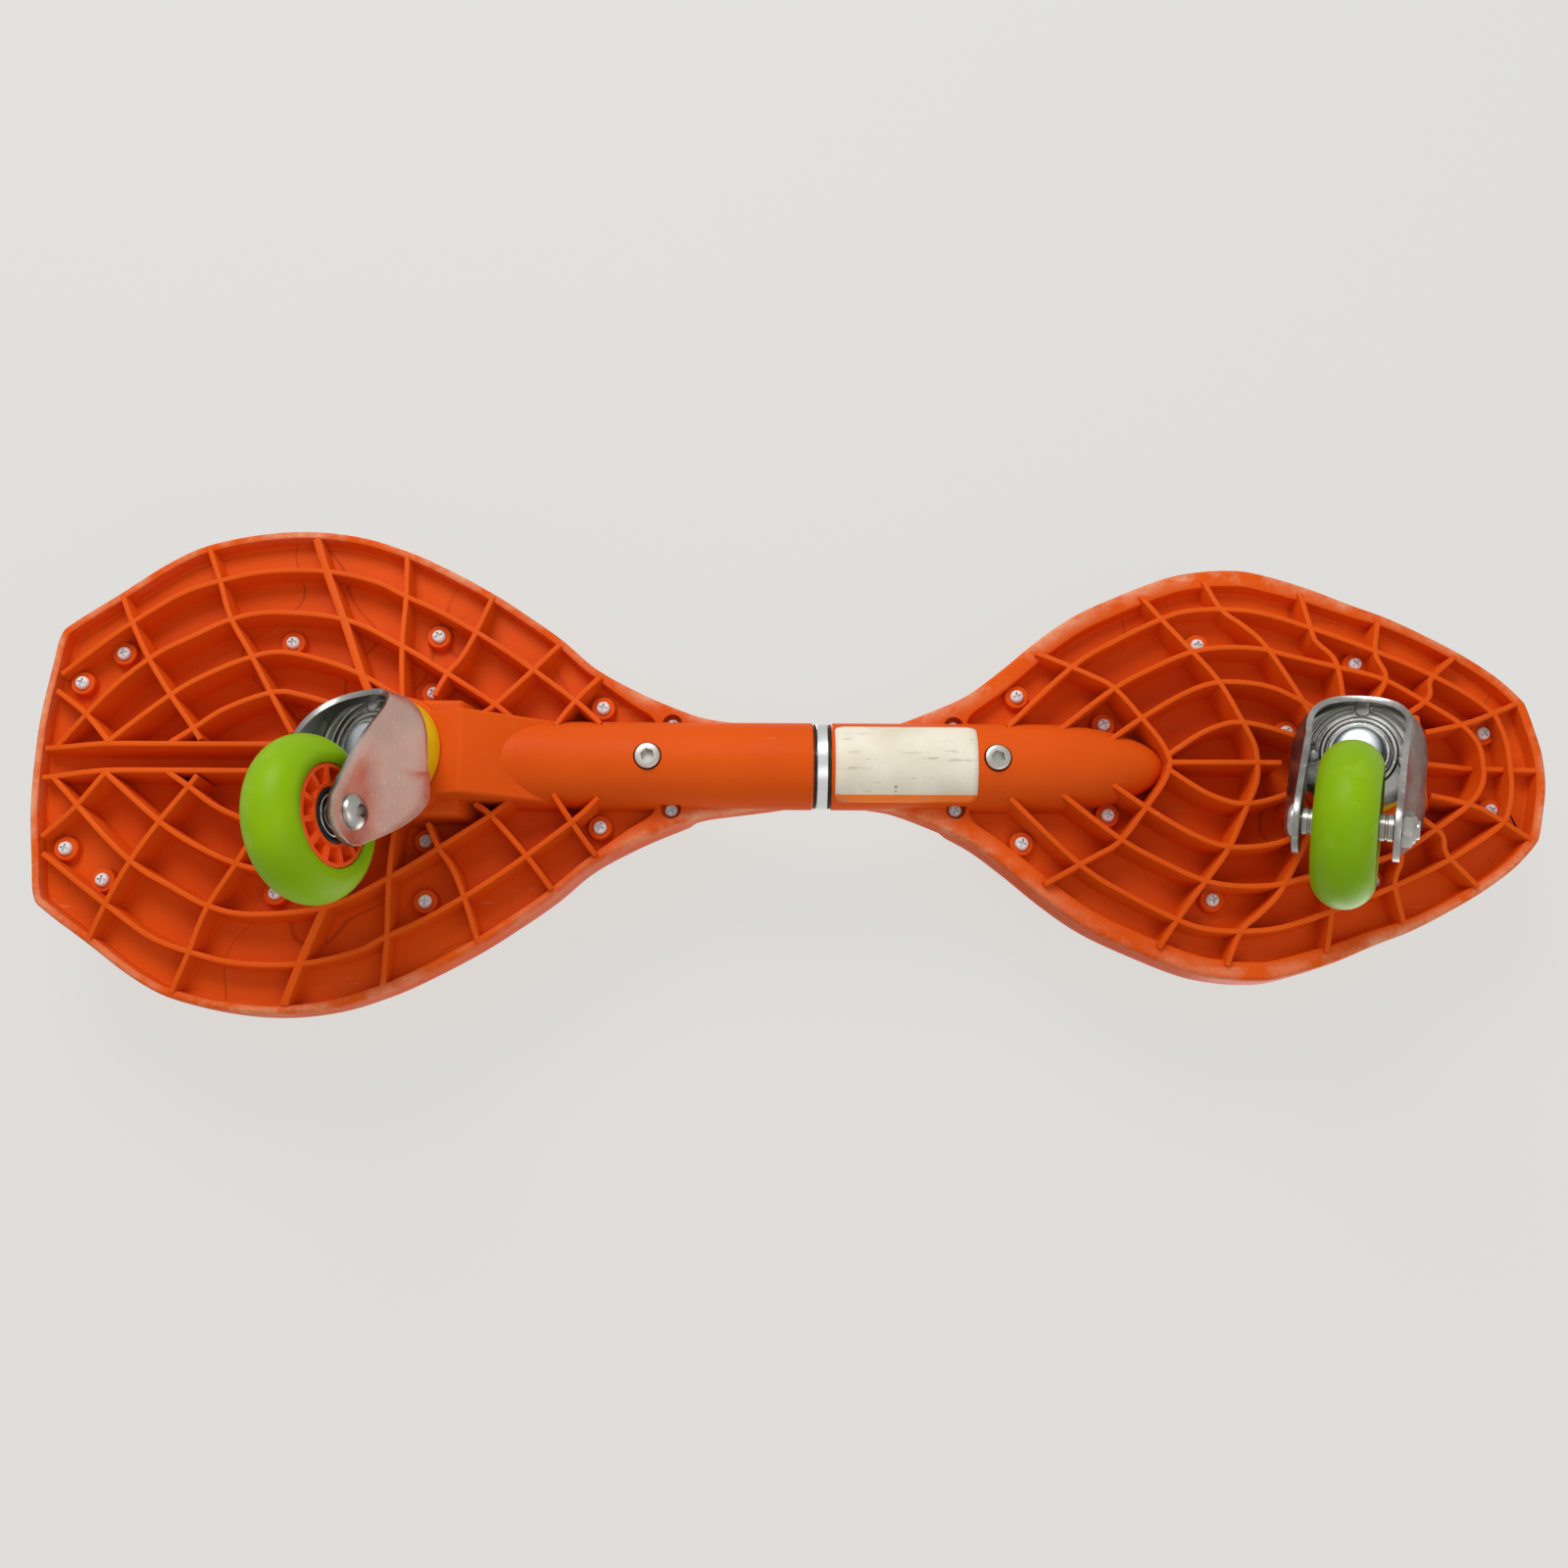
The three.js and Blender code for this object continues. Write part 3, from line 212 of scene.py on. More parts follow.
BEAD_PROFILE = [(-0.55, 0.4), (-0.4, -0.2), (0, -0.42), (0.4, -0.2), (0.55, 0.4)]
LIP_PROFILE = [(14.1, 0.5), (14.1, -0.6), (14.5, -1), (15.4, -1), (16.2, -0.3), (16.6, 0.5), (14.1, 0.5)]
DIMPLE_PROFILE = [(0, 0.4), (3.6, 0.4), (3.3, -0.2), (2.6, -0.6), (0, -0.75)]
DIMPLE_ANGLES = (0, 97, -97)
DIMPLE_PLACE = 19.4
FORK_SOFTNESS = 0.55
KINGPIN_PROFILE = [
    (0, -5.9), (4, -5.8), (7, -5.5), (9, -4.9), (10.2, -4), (10.8, -2.9), (11, -1.8), (11, -0.3), (10.7, 0),
]
KINGPIN_RADIUS = 5
KINGPIN_REACH = 21
KINGPIN_WASHER = 1.4
RACE_BORE = 5.3
RACE_TOP = 0.3
RACE_RIM_PROFILE = [
    (10.9, -2.6), (11.1, -4), (11.5, -4.2), (12.3, -4.2), (12.6, -3.7), (13, -3.4), (13.4, -3.6),
    (13.7, -3.4), (13.7, RACE_TOP),
]
RING_FOOT = 1
RING_FOOT_PROFILE = [(-1.1, RING_FOOT), (-0.4, 1.3), (0, 2)]
RING_TOP_PROFILE = [(0, -1), (-0.3, -0.3), (-0.9, 0)]
AXLE_RADIUS = 4
AXLE_TIP_REACH = 6.8
AXLE_TIP_CHAMFER = 0.6
BUTTON_RADIUS = 7.3
BUTTON_EDGE = 0.5
BUTTON_DOME = 3.7
BUTTON_SOCKET = 3.1
BUTTON_SOCKET_HEIGHTS = (0.9, 6)
NUT_HEIGHT = 5.4
NUT_CORNER = 7.5
NUT_BORE = 4.1
NUT_PROFILE = [
    (0, -NUT_HEIGHT), (4.6, -NUT_HEIGHT), (5.4, -5), (6, -4.2), (6.9, -3.8), (8, -3.1), (8, -0.6),
    (7, 0), (0, 0),
]
SPACER_BORE = 4.3
SPACER_RADIUS = 5.5
SPACER_GROOVE = 5
AXLE_DROP = 43.5
AXLE_TRAIL = 39
TYRE_RADIUS = 34.5
TYRE_HALF = 12.8
HUB_RADIUS = 21
HUB_HALF = 11.5
HUB_BORE = 9
TYRE_TURN = 74
TYRE_STEPS = 28
TYRE_EDGE_PROFILE = [(0, 11), (0.1, 11.6), (0.7, 12.1)]
POCKETS = 12
POCKET_DEPTH = 7
POCKET_RADII = (13, 19.3)
POCKET_WALL = 2.3
POCKET_DRAFT = 0.3
BEARING_RADIUS = 11
BEARING_WIDTH = 7
SHIELD_PROFILE = [
    (5.95, -6.6), (10.8, -6.9), (11, -6.7), (11, -0.3), (10.7, 0), (9.8, 0), (9.4, -0.4), (8.72, -0.5),
    (8.72, -1.3), (7.95, -1.3), (7.95, -0.6), (6.4, -0.5), (5.95, -0.7), (5.95, -6.6),
]

# Label on the front sleeve, angles from straight below
LABEL_LIFT = 0.12
LABEL_THICKNESS = 0.1
LABEL_ROWS = 40
LABEL_COLUMNS = 24
LABEL_START = 5.5
LABEL_END = 68
LABEL_ANGLES = (-52, 66)
LABEL_STRIP = 51
LABEL_CORNER = 4

# Camera, in the board's frame and with a lens as long as its sensor is wide
EYE = (-28.63, 162.29, -691.67)
CAMERA_RIGHT = (0.9998, -0.0011, -0.0177)
CAMERA_UP = (-0.005, -0.9755, -0.2201)
CAMERA_LENS = 36

# Stage, in metres but for the gap above the board
STAGE_HALF = 4
BACKDROP_GAP = 48
BACKDROP_FULL = 0.6
BACKDROP_END = 1.1
FLOOR_GLOW = 0.2
BACKDROP_GLOW = 0.88
SKY_STRENGTH = 0.5
PALE = (0.74, 0.735, 0.71)
LAMP_TARGET = (0, 0, 0.08)
LAMPS = [
    ("key_below", (-0.35, -1.0, -1.1), 0.9, 15),
    ("fill_below", (0.6, 0.7, -1.3), 1.2, 4.5),
    ("key_above", (-0.7, -0.9, 1.6), 1.0, 18),
    ("fill_above", (0.9, 0.8, 1.3), 1.3, 9),
]

REAR_OUTLINE_SHARES = [
    (0.03, 0.15), (0.065, 0.168), (0.1, 0.183), (0.148, 0.205), (0.188, 0.248), (0.239, 0.32),
    (0.291, 0.414), (0.336, 0.536),
    (0.382, 0.64), (0.43, 0.739), (0.493, 0.847), (0.544, 0.919), (0.604, 0.977), (0.672, 1),
    (0.741, 0.982), (0.806, 0.932), (0.855, 0.851), (0.912, 0.721), (0.966, 0.6), (0.983, 0.54),
    (0.99, 0.4), (0.998, 0.2),
]
FRONT_OUTLINE_SHARES = [
    (0.03, 0.165), (0.065, 0.187), (0.1, 0.21), (0.152, 0.278), (0.201, 0.357), (0.25, 0.483),
    (0.299, 0.624), (0.348, 0.745),
    (0.402, 0.839), (0.485, 0.955), (0.537, 0.992), (0.579, 1), (0.616, 0.986), (0.683, 0.918),
    (0.747, 0.829), (0.799, 0.761), (0.857, 0.661), (0.902, 0.572), (0.945, 0.467), (0.976, 0.36),
    (0.984, 0.31), (0.992, 0.2), (0.998, 0.1),
]
REAR_LONG_SHARES = [
    [(0.974, 0.369), (0.886, 0.572), (0.829, 0.698), (0.781, 0.757), (0.721, 0.802), (0.644, 0.806),
     (0.578, 0.761), (0.538, 0.698), (0.487, 0.622), (0.407, 0.468), (0.313, 0.248), (0.28, 0.15)],
    [(0.97, 0.06), (0.929, 0.185), (0.855, 0.41), (0.803, 0.509), (0.755, 0.586), (0.701, 0.617),
     (0.61, 0.586), (0.536, 0.473), (0.476, 0.356), (0.413, 0.225), (0.38, 0.14)],
    [(0.892, 0.063), (0.821, 0.257), (0.774, 0.351), (0.722, 0.423), (0.684, 0.441), (0.632, 0.405),
     (0.581, 0.342), (0.52, 0.225)],
    [(0.815, 0.059), (0.786, 0.122), (0.749, 0.203), (0.692, 0.27), (0.655, 0.257), (0.6, 0.207),
     (0.56, 0.18)],
]
REAR_CROSS_SHARES = [
    [(0.978, 0.3), (0.929, 0.185), (0.892, 0.063)],
    [(0.908, 0.715), (0.884, 0.572), (0.855, 0.414), (0.822, 0.261), (0.792, 0.135), (0.778, 0.072)],
    [(0.8, 0.915), (0.778, 0.757), (0.758, 0.595), (0.726, 0.432), (0.698, 0.279), (0.665, 0.1)],
    [(0.542, 0.9), (0.537, 0.694), (0.536, 0.473), (0.53, 0.24)],
    [(0.427, 0.715), (0.444, 0.545), (0.459, 0.432), (0.476, 0.356), (0.49, 0.26)],
    [(0.338, 0.505), (0.369, 0.378), (0.413, 0.225), (0.433, 0.18)],
    [(0.284, 0.37), (0.313, 0.248), (0.336, 0.14)],
]
REAR_KEY_SHARES = [(0.661, 0.96), (0.641, 0.797), (0.613, 0.586), (0.584, 0.351), (0.57, 0.26)]
REAR_SPINE_SHARES = [(0.985, 0.06), (0.87, 0.054), (0.7, 0.054), (0.57, 0.054)]
FRONT_LONG_SHARES = [
    [(0.252, 0.17), (0.346, 0.477), (0.41, 0.614), (0.474, 0.724), (0.512, 0.766), (0.5625, 0.776),
     (0.616, 0.756), (0.686, 0.677), (0.768, 0.567), (0.845, 0.441), (0.919, 0.278), (0.934, 0.2),
     (0.941, 0.1), (0.942, 0)],
    [(0.31, 0.12), (0.396, 0.352), (0.462, 0.477), (0.509, 0.546), (0.552, 0.572), (0.605, 0.567),
     (0.648, 0.53), (0.704, 0.483), (0.771, 0.42), (0.826, 0.304), (0.872, 0.189), (0.893, 0.09),
     (0.896, 0)],
    [(0.38, 0.08), (0.431, 0.205), (0.492, 0.331), (0.535, 0.388), (0.575, 0.394), (0.613, 0.372),
     (0.643, 0.325), (0.68, 0.25)],
    [(0.465, 0.03), (0.509, 0.131), (0.54, 0.178), (0.564, 0.194), (0.598, 0.178), (0.65, 0.12)],
]
FRONT_CROSS_SHARES = [
    [(0.299, 0.56), (0.346, 0.472), (0.369, 0.43), (0.399, 0.367), (0.434, 0.215), (0.46, 0.09),
     (0.47, 0)],
    [(0.45, 0.85), (0.476, 0.714), (0.509, 0.562), (0.543, 0.404), (0.57, 0.21), (0.585, 0.09),
     (0.588, 0)],
    [(0.54, 0.93), (0.558, 0.777), (0.585, 0.693), (0.613, 0.588), (0.649, 0.357), (0.67, 0.2)],
    [(0.675, 0.87), (0.683, 0.65), (0.689, 0.598), (0.71, 0.504), (0.713, 0.3)],
    [(0.782, 0.73), (0.768, 0.556), (0.777, 0.425), (0.75, 0.28)],
    [(0.887, 0.56), (0.841, 0.425), (0.832, 0.325), (0.79, 0.22)],
    [(0.968, 0.33), (0.915, 0.247), (0.875, 0.194), (0.82, 0.15)],
]
FRONT_SPINE_SHARES = [(0.47, 0), (0.62, 0)]
NOSE_SPINE_SHARES = [(0.985, 0), (0.88, 0), (0.79, 0)]
NOSE_SPINE_DEPTHS = [8.3, 11.85, 23.7]

rear = SimpleNamespace(
    name="rear", way=-1, reach=351, half_width=111, outline=REAR_OUTLINE_SHARES,
    rim=(8, 4), rim_change=(0.2, 0.3), neck_screw=(67, 19.5), pocket_start=74, plate_start=50,
    screws=[(98.6, 27.5), (174.4, 61), (240.4, 57.5), (316.3, 52), (333.8, 38)],
    more_screws=[(175.5, 34)], wedge=(34, 0.6), plinth_reach=37.4, sleeve=(144, 0), flip=0,
    long=REAR_LONG_SHARES, cross=REAR_CROSS_SHARES,
)
front = SimpleNamespace(
    name="front", way=1, reach=328, half_width=95.3, outline=FRONT_OUTLINE_SHARES,
    rim=(8.5, 5), rim_change=(0.62, 0.86), neck_screw=(60, 19), pocket_start=66, plate_start=48,
    screws=[(89.5, 34), (128.6, 21), (173.5, 59), (302.1, 18)],
    more_screws=[(212, 18), (246, 50.5)], wedge=(26, 2.2), plinth_reach=19.4, sleeve=(98, 56), flip=math.pi,
    long=FRONT_LONG_SHARES, cross=FRONT_CROSS_SHARES,
)

# Frames, worked out from the joints
JOINTS = {joint["name"]: joint for joint in frame["joints"]}
twist_place = Vector(JOINTS["deck_twist"]["pos_m"]) / MM
BOARD = Matrix.Translation(twist_place + Vector((0, 0, TUBE_AXIS)))


def leaning_frame(deck):
    swivel = JOINTS[deck.name + "_swivel"]
    lean = Vector((0, 0, 1)).rotation_difference(Vector(swivel["axis"]))
    return Matrix.Translation(Vector(swivel["pos_m"]) / MM) @ lean.to_matrix().to_4x4()


def turning_frame(deck):
    lean = leaning_frame(deck)
    axle = lean.to_3x3().inverted() @ Vector(JOINTS[deck.name + "_spin"]["axis"])
    return lean @ Matrix.Rotation(-math.atan2(axle.x, axle.y), 4, "Z")


def axle_frame(deck):
    place = Matrix.Translation((-AXLE_TRAIL, 0, -AXLE_DROP))
    return turning_frame(deck) @ place @ Matrix.Rotation(-math.pi / 2, 4, "X")


# Shapes are pairs of points and faces
def grid(rows, closed=True, caps=False):
    width = len(rows[0])
    points = [Vector(point) for row in rows for point in row]
    faces = []
    for near in range(len(rows) - 1):
        for left in range(width if closed else width - 1):
            right = (left + 1) % width
            ring = near * width
            faces.append((ring + left, ring + right, ring + width + right, ring + width + left))
    if caps:
        last = (len(rows) - 1) * width
        faces.append(tuple(range(width)))
        faces.append(tuple(range(last, last + width)))
    return points, faces


def joined(*shapes):
    points = []
    faces = []
    for more_points, more_faces in shapes:
        start = len(points)
        points += more_points
        faces += [tuple(start + index for index in face) for face in more_faces]
    return points, faces


def moved(shape, matrix):
    return [matrix @ point for point in shape[0]], shape[1]


def around(radius, height, steps, turn=0):
    angles = [turn + 2 * math.pi * step / steps for step in range(steps)]
    return [(radius * math.cos(angle), radius * math.sin(angle), height) for angle in angles]


def raised(profile, height):
    return [(radius, low + height) for radius, low in profile]


def lathe(profile, steps=64, turn=0):
    return grid([around(radius, height, steps, turn) for radius, height in profile])


def rod(radius, low, high, steps=48, turn=0):
    return lathe([(0, low), (radius, low), (radius, high), (0, high)], steps, turn)


def tube(inner, outer, low, high, edge, steps=64):
    profile = [
        (inner, low), (outer - edge, low), (outer, low + edge), (outer, high - edge),
        (outer - edge, high), (inner, high), (inner, low),
    ]
    return lathe(profile, steps)


def block(corners, edge):
    """A box with eight given corners, lower four first, and rounded edges."""
    mesh = bmesh.new()
    points = [mesh.verts.new(corner) for corner in corners]
    sides = [(0, 1, 5, 4), (1, 2, 6, 5), (2, 3, 7, 6), (3, 0, 4, 7)]
    for face in [(3, 2, 1, 0), (4, 5, 6, 7), *sides]:
        mesh.faces.new([points[index] for index in face])
    bmesh.ops.bevel(mesh, geom=mesh.edges[:], offset=edge, segments=3, profile=0.5, affect="EDGES")
    mesh.verts.index_update()
    places = [point.co.copy() for point in mesh.verts]
    faces = [tuple(point.index for point in face.verts) for face in mesh.faces]
    mesh.free()
    return places, faces


def along_x(shape, way=1):
    """A shape about Z, laid along the torsion tube."""
    lay = Matrix.Translation((0, 0, -TUBE_AXIS)) @ Matrix.Rotation(way * math.pi / 2, 4, "Y")
    return moved(shape, lay)


def solid(name, shape, matrix=BOARD):
    points, faces = shape
    data = bpy.data.meshes.new(name)
    data.from_pydata([(matrix @ point) * MM for point in points], [], faces)
    mesh = bmesh.new()
    mesh.from_mesh(data)
    bmesh.ops.remove_doubles(mesh, verts=mesh.verts, dist=WELD * MM)
    bmesh.ops.recalc_face_normals(mesh, faces=mesh.faces)
    mesh.to_mesh(data)
    mesh.free()
    return bpy.data.objects.new(name, data)


def combined(base, others, operation):
    """The base with the other solids added to it, cut from it or shared with it."""
    name = base.name
    store = bpy.data.collections.new("solids")
    for other in others:
        store.objects.link(other)
    bpy.context.scene.collection.objects.link(base)
    modifier = base.modifiers.new("solids", "BOOLEAN")
    modifier.operand_type = "COLLECTION"
    modifier.collection = store
    modifier.operation = operation
    modifier.solver = "MANIFOLD"
    evaluated = base.evaluated_get(bpy.context.evaluated_depsgraph_get())
    data = bpy.data.meshes.new_from_object(evaluated)
    for thing in [base, *others]:
        bpy.data.objects.remove(thing)
    bpy.data.collections.remove(store)
    return bpy.data.objects.new(name, data)


def show(piece, material, body, slot, *nodes, sharp=SMOOTH_ANGLE):
    bpy.context.scene.collection.objects.link(piece)
    piece.data.materials.clear()
    piece.data.materials.append(material)
    piece.data.shade_smooth()
    piece.data.set_sharp_from_angle(angle=math.radians(sharp))
    if nodes:
        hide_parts(*nodes)
    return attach(piece, body)


def soften(piece, width, segments=2):
    modifier = piece.modifiers.new("edges", "BEVEL")
    modifier.width = width * MM
    modifier.segments = segments
    modifier.limit_method = "ANGLE"
    modifier.angle_limit = math.radians(BEVEL_ANGLE)
    return piece


# Curves on the plan
def spline(knots, steps):
    points = []
    last = len(knots) - 1
    for index in range(last):
        before = knots[max(index - 1, 0)]
        start = knots[index]
        end = knots[index + 1]
        after = knots[min(index + 2, last)]
        leave = (end - before) / 2
        arrive = (after - start) / 2
        for step in range(steps):
            t = step / steps
            bend = (2 * start - 2 * end + leave + arrive) * t ** 3
            sway = (-3 * start + 3 * end - 2 * leave - arrive) * t ** 2
            points.append(bend + sway + leave * t + start)
    points.append(knots[-1])
    return points


def deck_points(deck, shares):
    return [Vector((along * deck.reach, across * deck.half_width)) for along, across in shares]


def outline(deck):
    """From the neck round the end and back to the neck."""
    side = deck_points(deck, deck.outline)
    back = [Vector((point.x, -point.y)) for point in reversed(side)]
    return spline([*side, Vector((deck.reach, 0)), *back], 8)


def inset(loop, amount):
    """The loop moved inwards, by one amount or by one for each point."""
    amounts = amount if isinstance(amount, list) else [amount] * len(loop)
    result = []
    for index, point in enumerate(loop):
        arrive = (point - loop[index - 1]).normalized()
        leave = (loop[(index + 1) % len(loop)] - point).normalized()
        inward = Vector((arrive.y + leave.y, -arrive.x - leave.x))
        result.append(point + inward * (amounts[index] / max(1 + arrive.dot(leave), 0.5)))
    return result


def cut_at(loop, start):
    """The loop beyond a start distance from the joint."""
    kept = [point for point in loop if point.x > start]
    first = loop.index(kept[0])
    if first == 0:
        return kept
    last = loop.index(kept[-1])

    def crossing(outside, inside):
        return outside.lerp(inside, (start - outside.x) / (inside.x - outside.x))

    return [crossing(loop[first - 1], loop[first]), *kept, crossing(loop[last + 1], loop[last])]


def round_start(loop, radius):
    """The loop with its two corners at the start edge rounded."""
    inside = [p for p in loop if (p - loop[0]).length > radius and (p - loop[-1]).length > radius]
    edge = (loop[-1] - loop[0]).normalized() * radius
    shares = [0, 0.2, 0.4, 0.6, 0.8]

    def arc(start, corner, end):
        return [start.lerp(corner, s).lerp(corner.lerp(end, s), s) for s in shares]

    return [
        *arc(loop[0] + edge, loop[0], inside[0]), *inside,
        *reversed(arc(loop[-1] - edge, loop[-1], inside[-1])),
    ]


def rim_width(deck, distance):
    start, stop = deck.rim_change
    share = min(max((distance / deck.reach - start) / (stop - start), 0), 1)
    share = share * share * (3 - 2 * share)
    return deck.rim[0] + (deck.rim[1] - deck.rim[0]) * share


def level(deck, loop, height):
    return [Vector((deck.way * point.x, point.y, height)) for point in loop]


def walls(deck, loop, section):
    return grid([level(deck, inset(loop, amount), height) for amount, height in section])


def flat(deck, loop, height):
    points = level(deck, loop, height)
    return points, [tuple(range(len(points)))]


def land(deck, outer, inner, height):
    """Level face between two loops."""
    outer_points = level(deck, outer, height)
    inner_points = level(deck, inner, height)
    return [*outer_points, *inner_points], tessellate_polygon([outer_points, inner_points])


def tray(deck, outer, inner, outer_section, inner_section, back):
    """Solid between a back face, an outer wall, a land and an inner wall that ends in a floor."""
    outer_last, land_height = outer_section[-1]
    inner_first = inner_section[0][0]
    inner_last, floor_height = inner_section[-1]
    return joined(
        flat(deck, inset(outer, outer_section[0][0]), back),
        walls(deck, outer, outer_section),
        land(deck, inset(outer, outer_last), inset(inner, inner_first), land_height),
        walls(deck, inner, inner_section),
        flat(deck, inset(inner, inner_last), floor_height),
    )


# Deck frames
def half_width_at(loop, distance):
    for near, far in zip(loop, loop[1:]):
        if near.x <= distance < far.x:
            return near.y + (far.y - near.y) * (distance - near.x) / (far.x - near.x)
    return loop[0].y if distance < loop[0].x else 1


def rib_depth(deck, loop, point):
    across = min(abs(point.y) / max(half_width_at(loop, point.x), 1), 1)
    share = min(max((deck.reach - point.x) / END_FADE, 0), 1)
    return RIM_DEPTH + (DOME_DEPTH - RIM_DEPTH) * (1 - across ** 2) * share * share * (3 - 2 * share)


def rib_section(thickness, depth):
    root = thickness / 2 + RIB_ROOT_DRAFT
    tip = thickness / 2 - RIB_TIP_DRAFT
    side = [(root + across, height) for across, height in RIB_FOOT_PROFILE]
    side += [(tip + across, height - depth) for across, height in RIB_TIP_PROFILE]
    return [*side, *[(-across, height) for across, height in reversed(side)]]


def rib(deck, path, depths, thickness, side=1):
    rows = []
    for index, point in enumerate(path):
        ahead = path[min(index + 1, len(path) - 1)] - path[max(index - 1, 0)]
        left = Vector((-ahead.y, ahead.x)).normalized()
        row = []
        for across, height in rib_section(thickness, depths[index]):
            place = point + left * across
            row.append((deck.way * place.x, side * place.y, height))
        rows.append(row)
    return grid(rows, caps=True)


def ribs(deck, loop):
    lines = [(shares, RIB) for shares in [*deck.long, *deck.cross]]
    if deck is rear:
        lines += [(REAR_KEY_SHARES, KEY_RIB), (REAR_SPINE_SHARES, RIB)]
    shapes = []
    for shares, thickness in lines:
        path = spline(deck_points(deck, shares), 5)
        depths = [rib_depth(deck, loop, point) for point in path]
        shapes += [rib(deck, path, depths, thickness, side) for side in (1, -1)]
    if deck is front:
        path = deck_points(deck, FRONT_SPINE_SHARES)
        shapes.append(rib(deck, path, [rib_depth(deck, loop, point) for point in path], RIB))
        shapes.append(rib(deck, deck_points(deck, NOSE_SPINE_SHARES), NOSE_SPINE_DEPTHS, RIB))
    return shapes


def casing(deck, loop):
    widths = [rim_width(deck, point.x) for point in loop]
    pocket = round_start(cut_at(inset(loop, widths), deck.pocket_start), POCKET_CORNER)
    return tray(deck, loop, pocket, RIM_OUTER_PROFILE, RIM_INNER_PROFILE, PANEL)


def sleeve(deck):
    length, nose = deck.sleeve
    rows = []
    stations = [(SKIRT_START, 1), (length, 1)]
    if nose:
        turns = [NOSE_STEP_RADIANS * step for step in range(1, NOSE_STEPS + 1)]
        stations += [(length + nose * math.sin(turn), math.cos(turn)) for turn in turns]
        stations.append((length + nose, NOSE_TIP_SHARE))
    for distance, share in stations:
        radius = (SLEEVE_RADIUS + SLEEVE_LAP) * share
        arc = [math.pi * step / SLEEVE_ARC_STEPS for step in range(SLEEVE_ARC_STEPS + 1)]
        row = [(deck.way * distance, radius * math.cos(a), -TUBE_AXIS - radius * math.sin(a)) for a in arc]
        rows.append([(row[0][0], radius, RIB_ROOT), *row, (row[0][0], -radius, RIB_ROOT)])
    return grid(rows, caps=True)


def crest(deck, radius, start, nose):
    profile = [
        (0, start), (radius - CREST_CHAMFER, start), (radius, start + CREST_CHAMFER), (radius, CREST_LENGTH),
    ]
    for step in range(1, 12):
        angle = step * math.pi / 24
        profile.append((radius * math.cos(angle), CREST_LENGTH + nose * math.sin(angle)))
    profile.append((0, CREST_LENGTH + nose))
    return along_x(lathe(profile, 96), deck.way)


def seat_boss(deck):
    lean = BOARD.inverted() @ leaning_frame(deck)
    axis = lean.to_3x3() @ Vector((0, 0, 1))
    rows = []
    for inwards, height in SEAT_EDGE_PROFILE:
        ring = around(SEAT_RADIUS - inwards, SEAT_HEIGHT + height, 72)
        rows.append([lean @ Vector(point) for point in ring])
    rows.append([point + axis * ((RIB_ROOT - point.z) / axis.z) for point in rows[-1]])
    return grid(rows, caps=True)


def wedge(deck):
    lean = BOARD.inverted() @ leaning_frame(deck)
    reach, slope = deck.wedge
    back = lean @ Vector((-SEAT_RADIUS / 2, 0, SEAT_HEIGHT))
    toe = lean @ Vector((reach, 0, SEAT_HEIGHT))
    foot = toe.x + (RIB_ROOT - toe.z) / slope
    half = WEDGE_HALF_WIDTH
    lower = [(back.x, -half, back.z), (toe.x, -half, toe.z), (toe.x, half, toe.z), (back.x, half, back.z)]
    upper = [
        (back.x, -half, RIB_ROOT), (foot, -half, RIB_ROOT), (foot, half, RIB_ROOT), (back.x, half, RIB_ROOT),
    ]
    return block([*lower, *upper], WEDGE_EDGE)


def plinth(deck):
    """Lower, wider block under the seat, with a sloping end."""
    start = (BOARD.inverted() @ leaning_frame(deck) @ Vector((0, 0, SEAT_HEIGHT))).x
    end = start + deck.plinth_reach
    half = PLINTH_HALF_WIDTH
    rows = [(end - PLINTH_SLOPE, -PLINTH_DEPTH), (end, RIB_ROOT)]
    corners = []
    for stop, height in rows:
        corners += [
            (start, -half, height), (stop, -half, height), (stop, half, height), (start, half, height),
        ]
    return block(corners, PLINTH_EDGE)


def caster_room(deck):
    """Cut that clears the ribs from the dust ring and from the crown as it swings."""
    lean = BOARD.inverted() @ leaning_frame(deck)
    swing = math.hypot(FORK_SHOULDER, FORK_HALF_WIDTH) + ROOM_GAP
    rods = [
        rod(swing, -ROOM_DEPTH, ROOM_GAP, 72), rod(RING_RADIUS + ROOM_GAP, -ROOM_DEPTH, SEAT_HEIGHT, 72),
    ]
    return [moved(shape, lean) for shape in rods]


def screw_boss(x, y):
    return moved(lathe(BOSS_PROFILE, 32), Matrix.Translation((x, y, 0)))


def screw_places(deck, pairs):
    return [(deck.way * along, side * across) for along, across in pairs for side in (1, -1)]


def upright(radius, low, high, x, y):
    return moved(rod(radius, low, high, 40), Matrix.Translation((x, y, 0)))


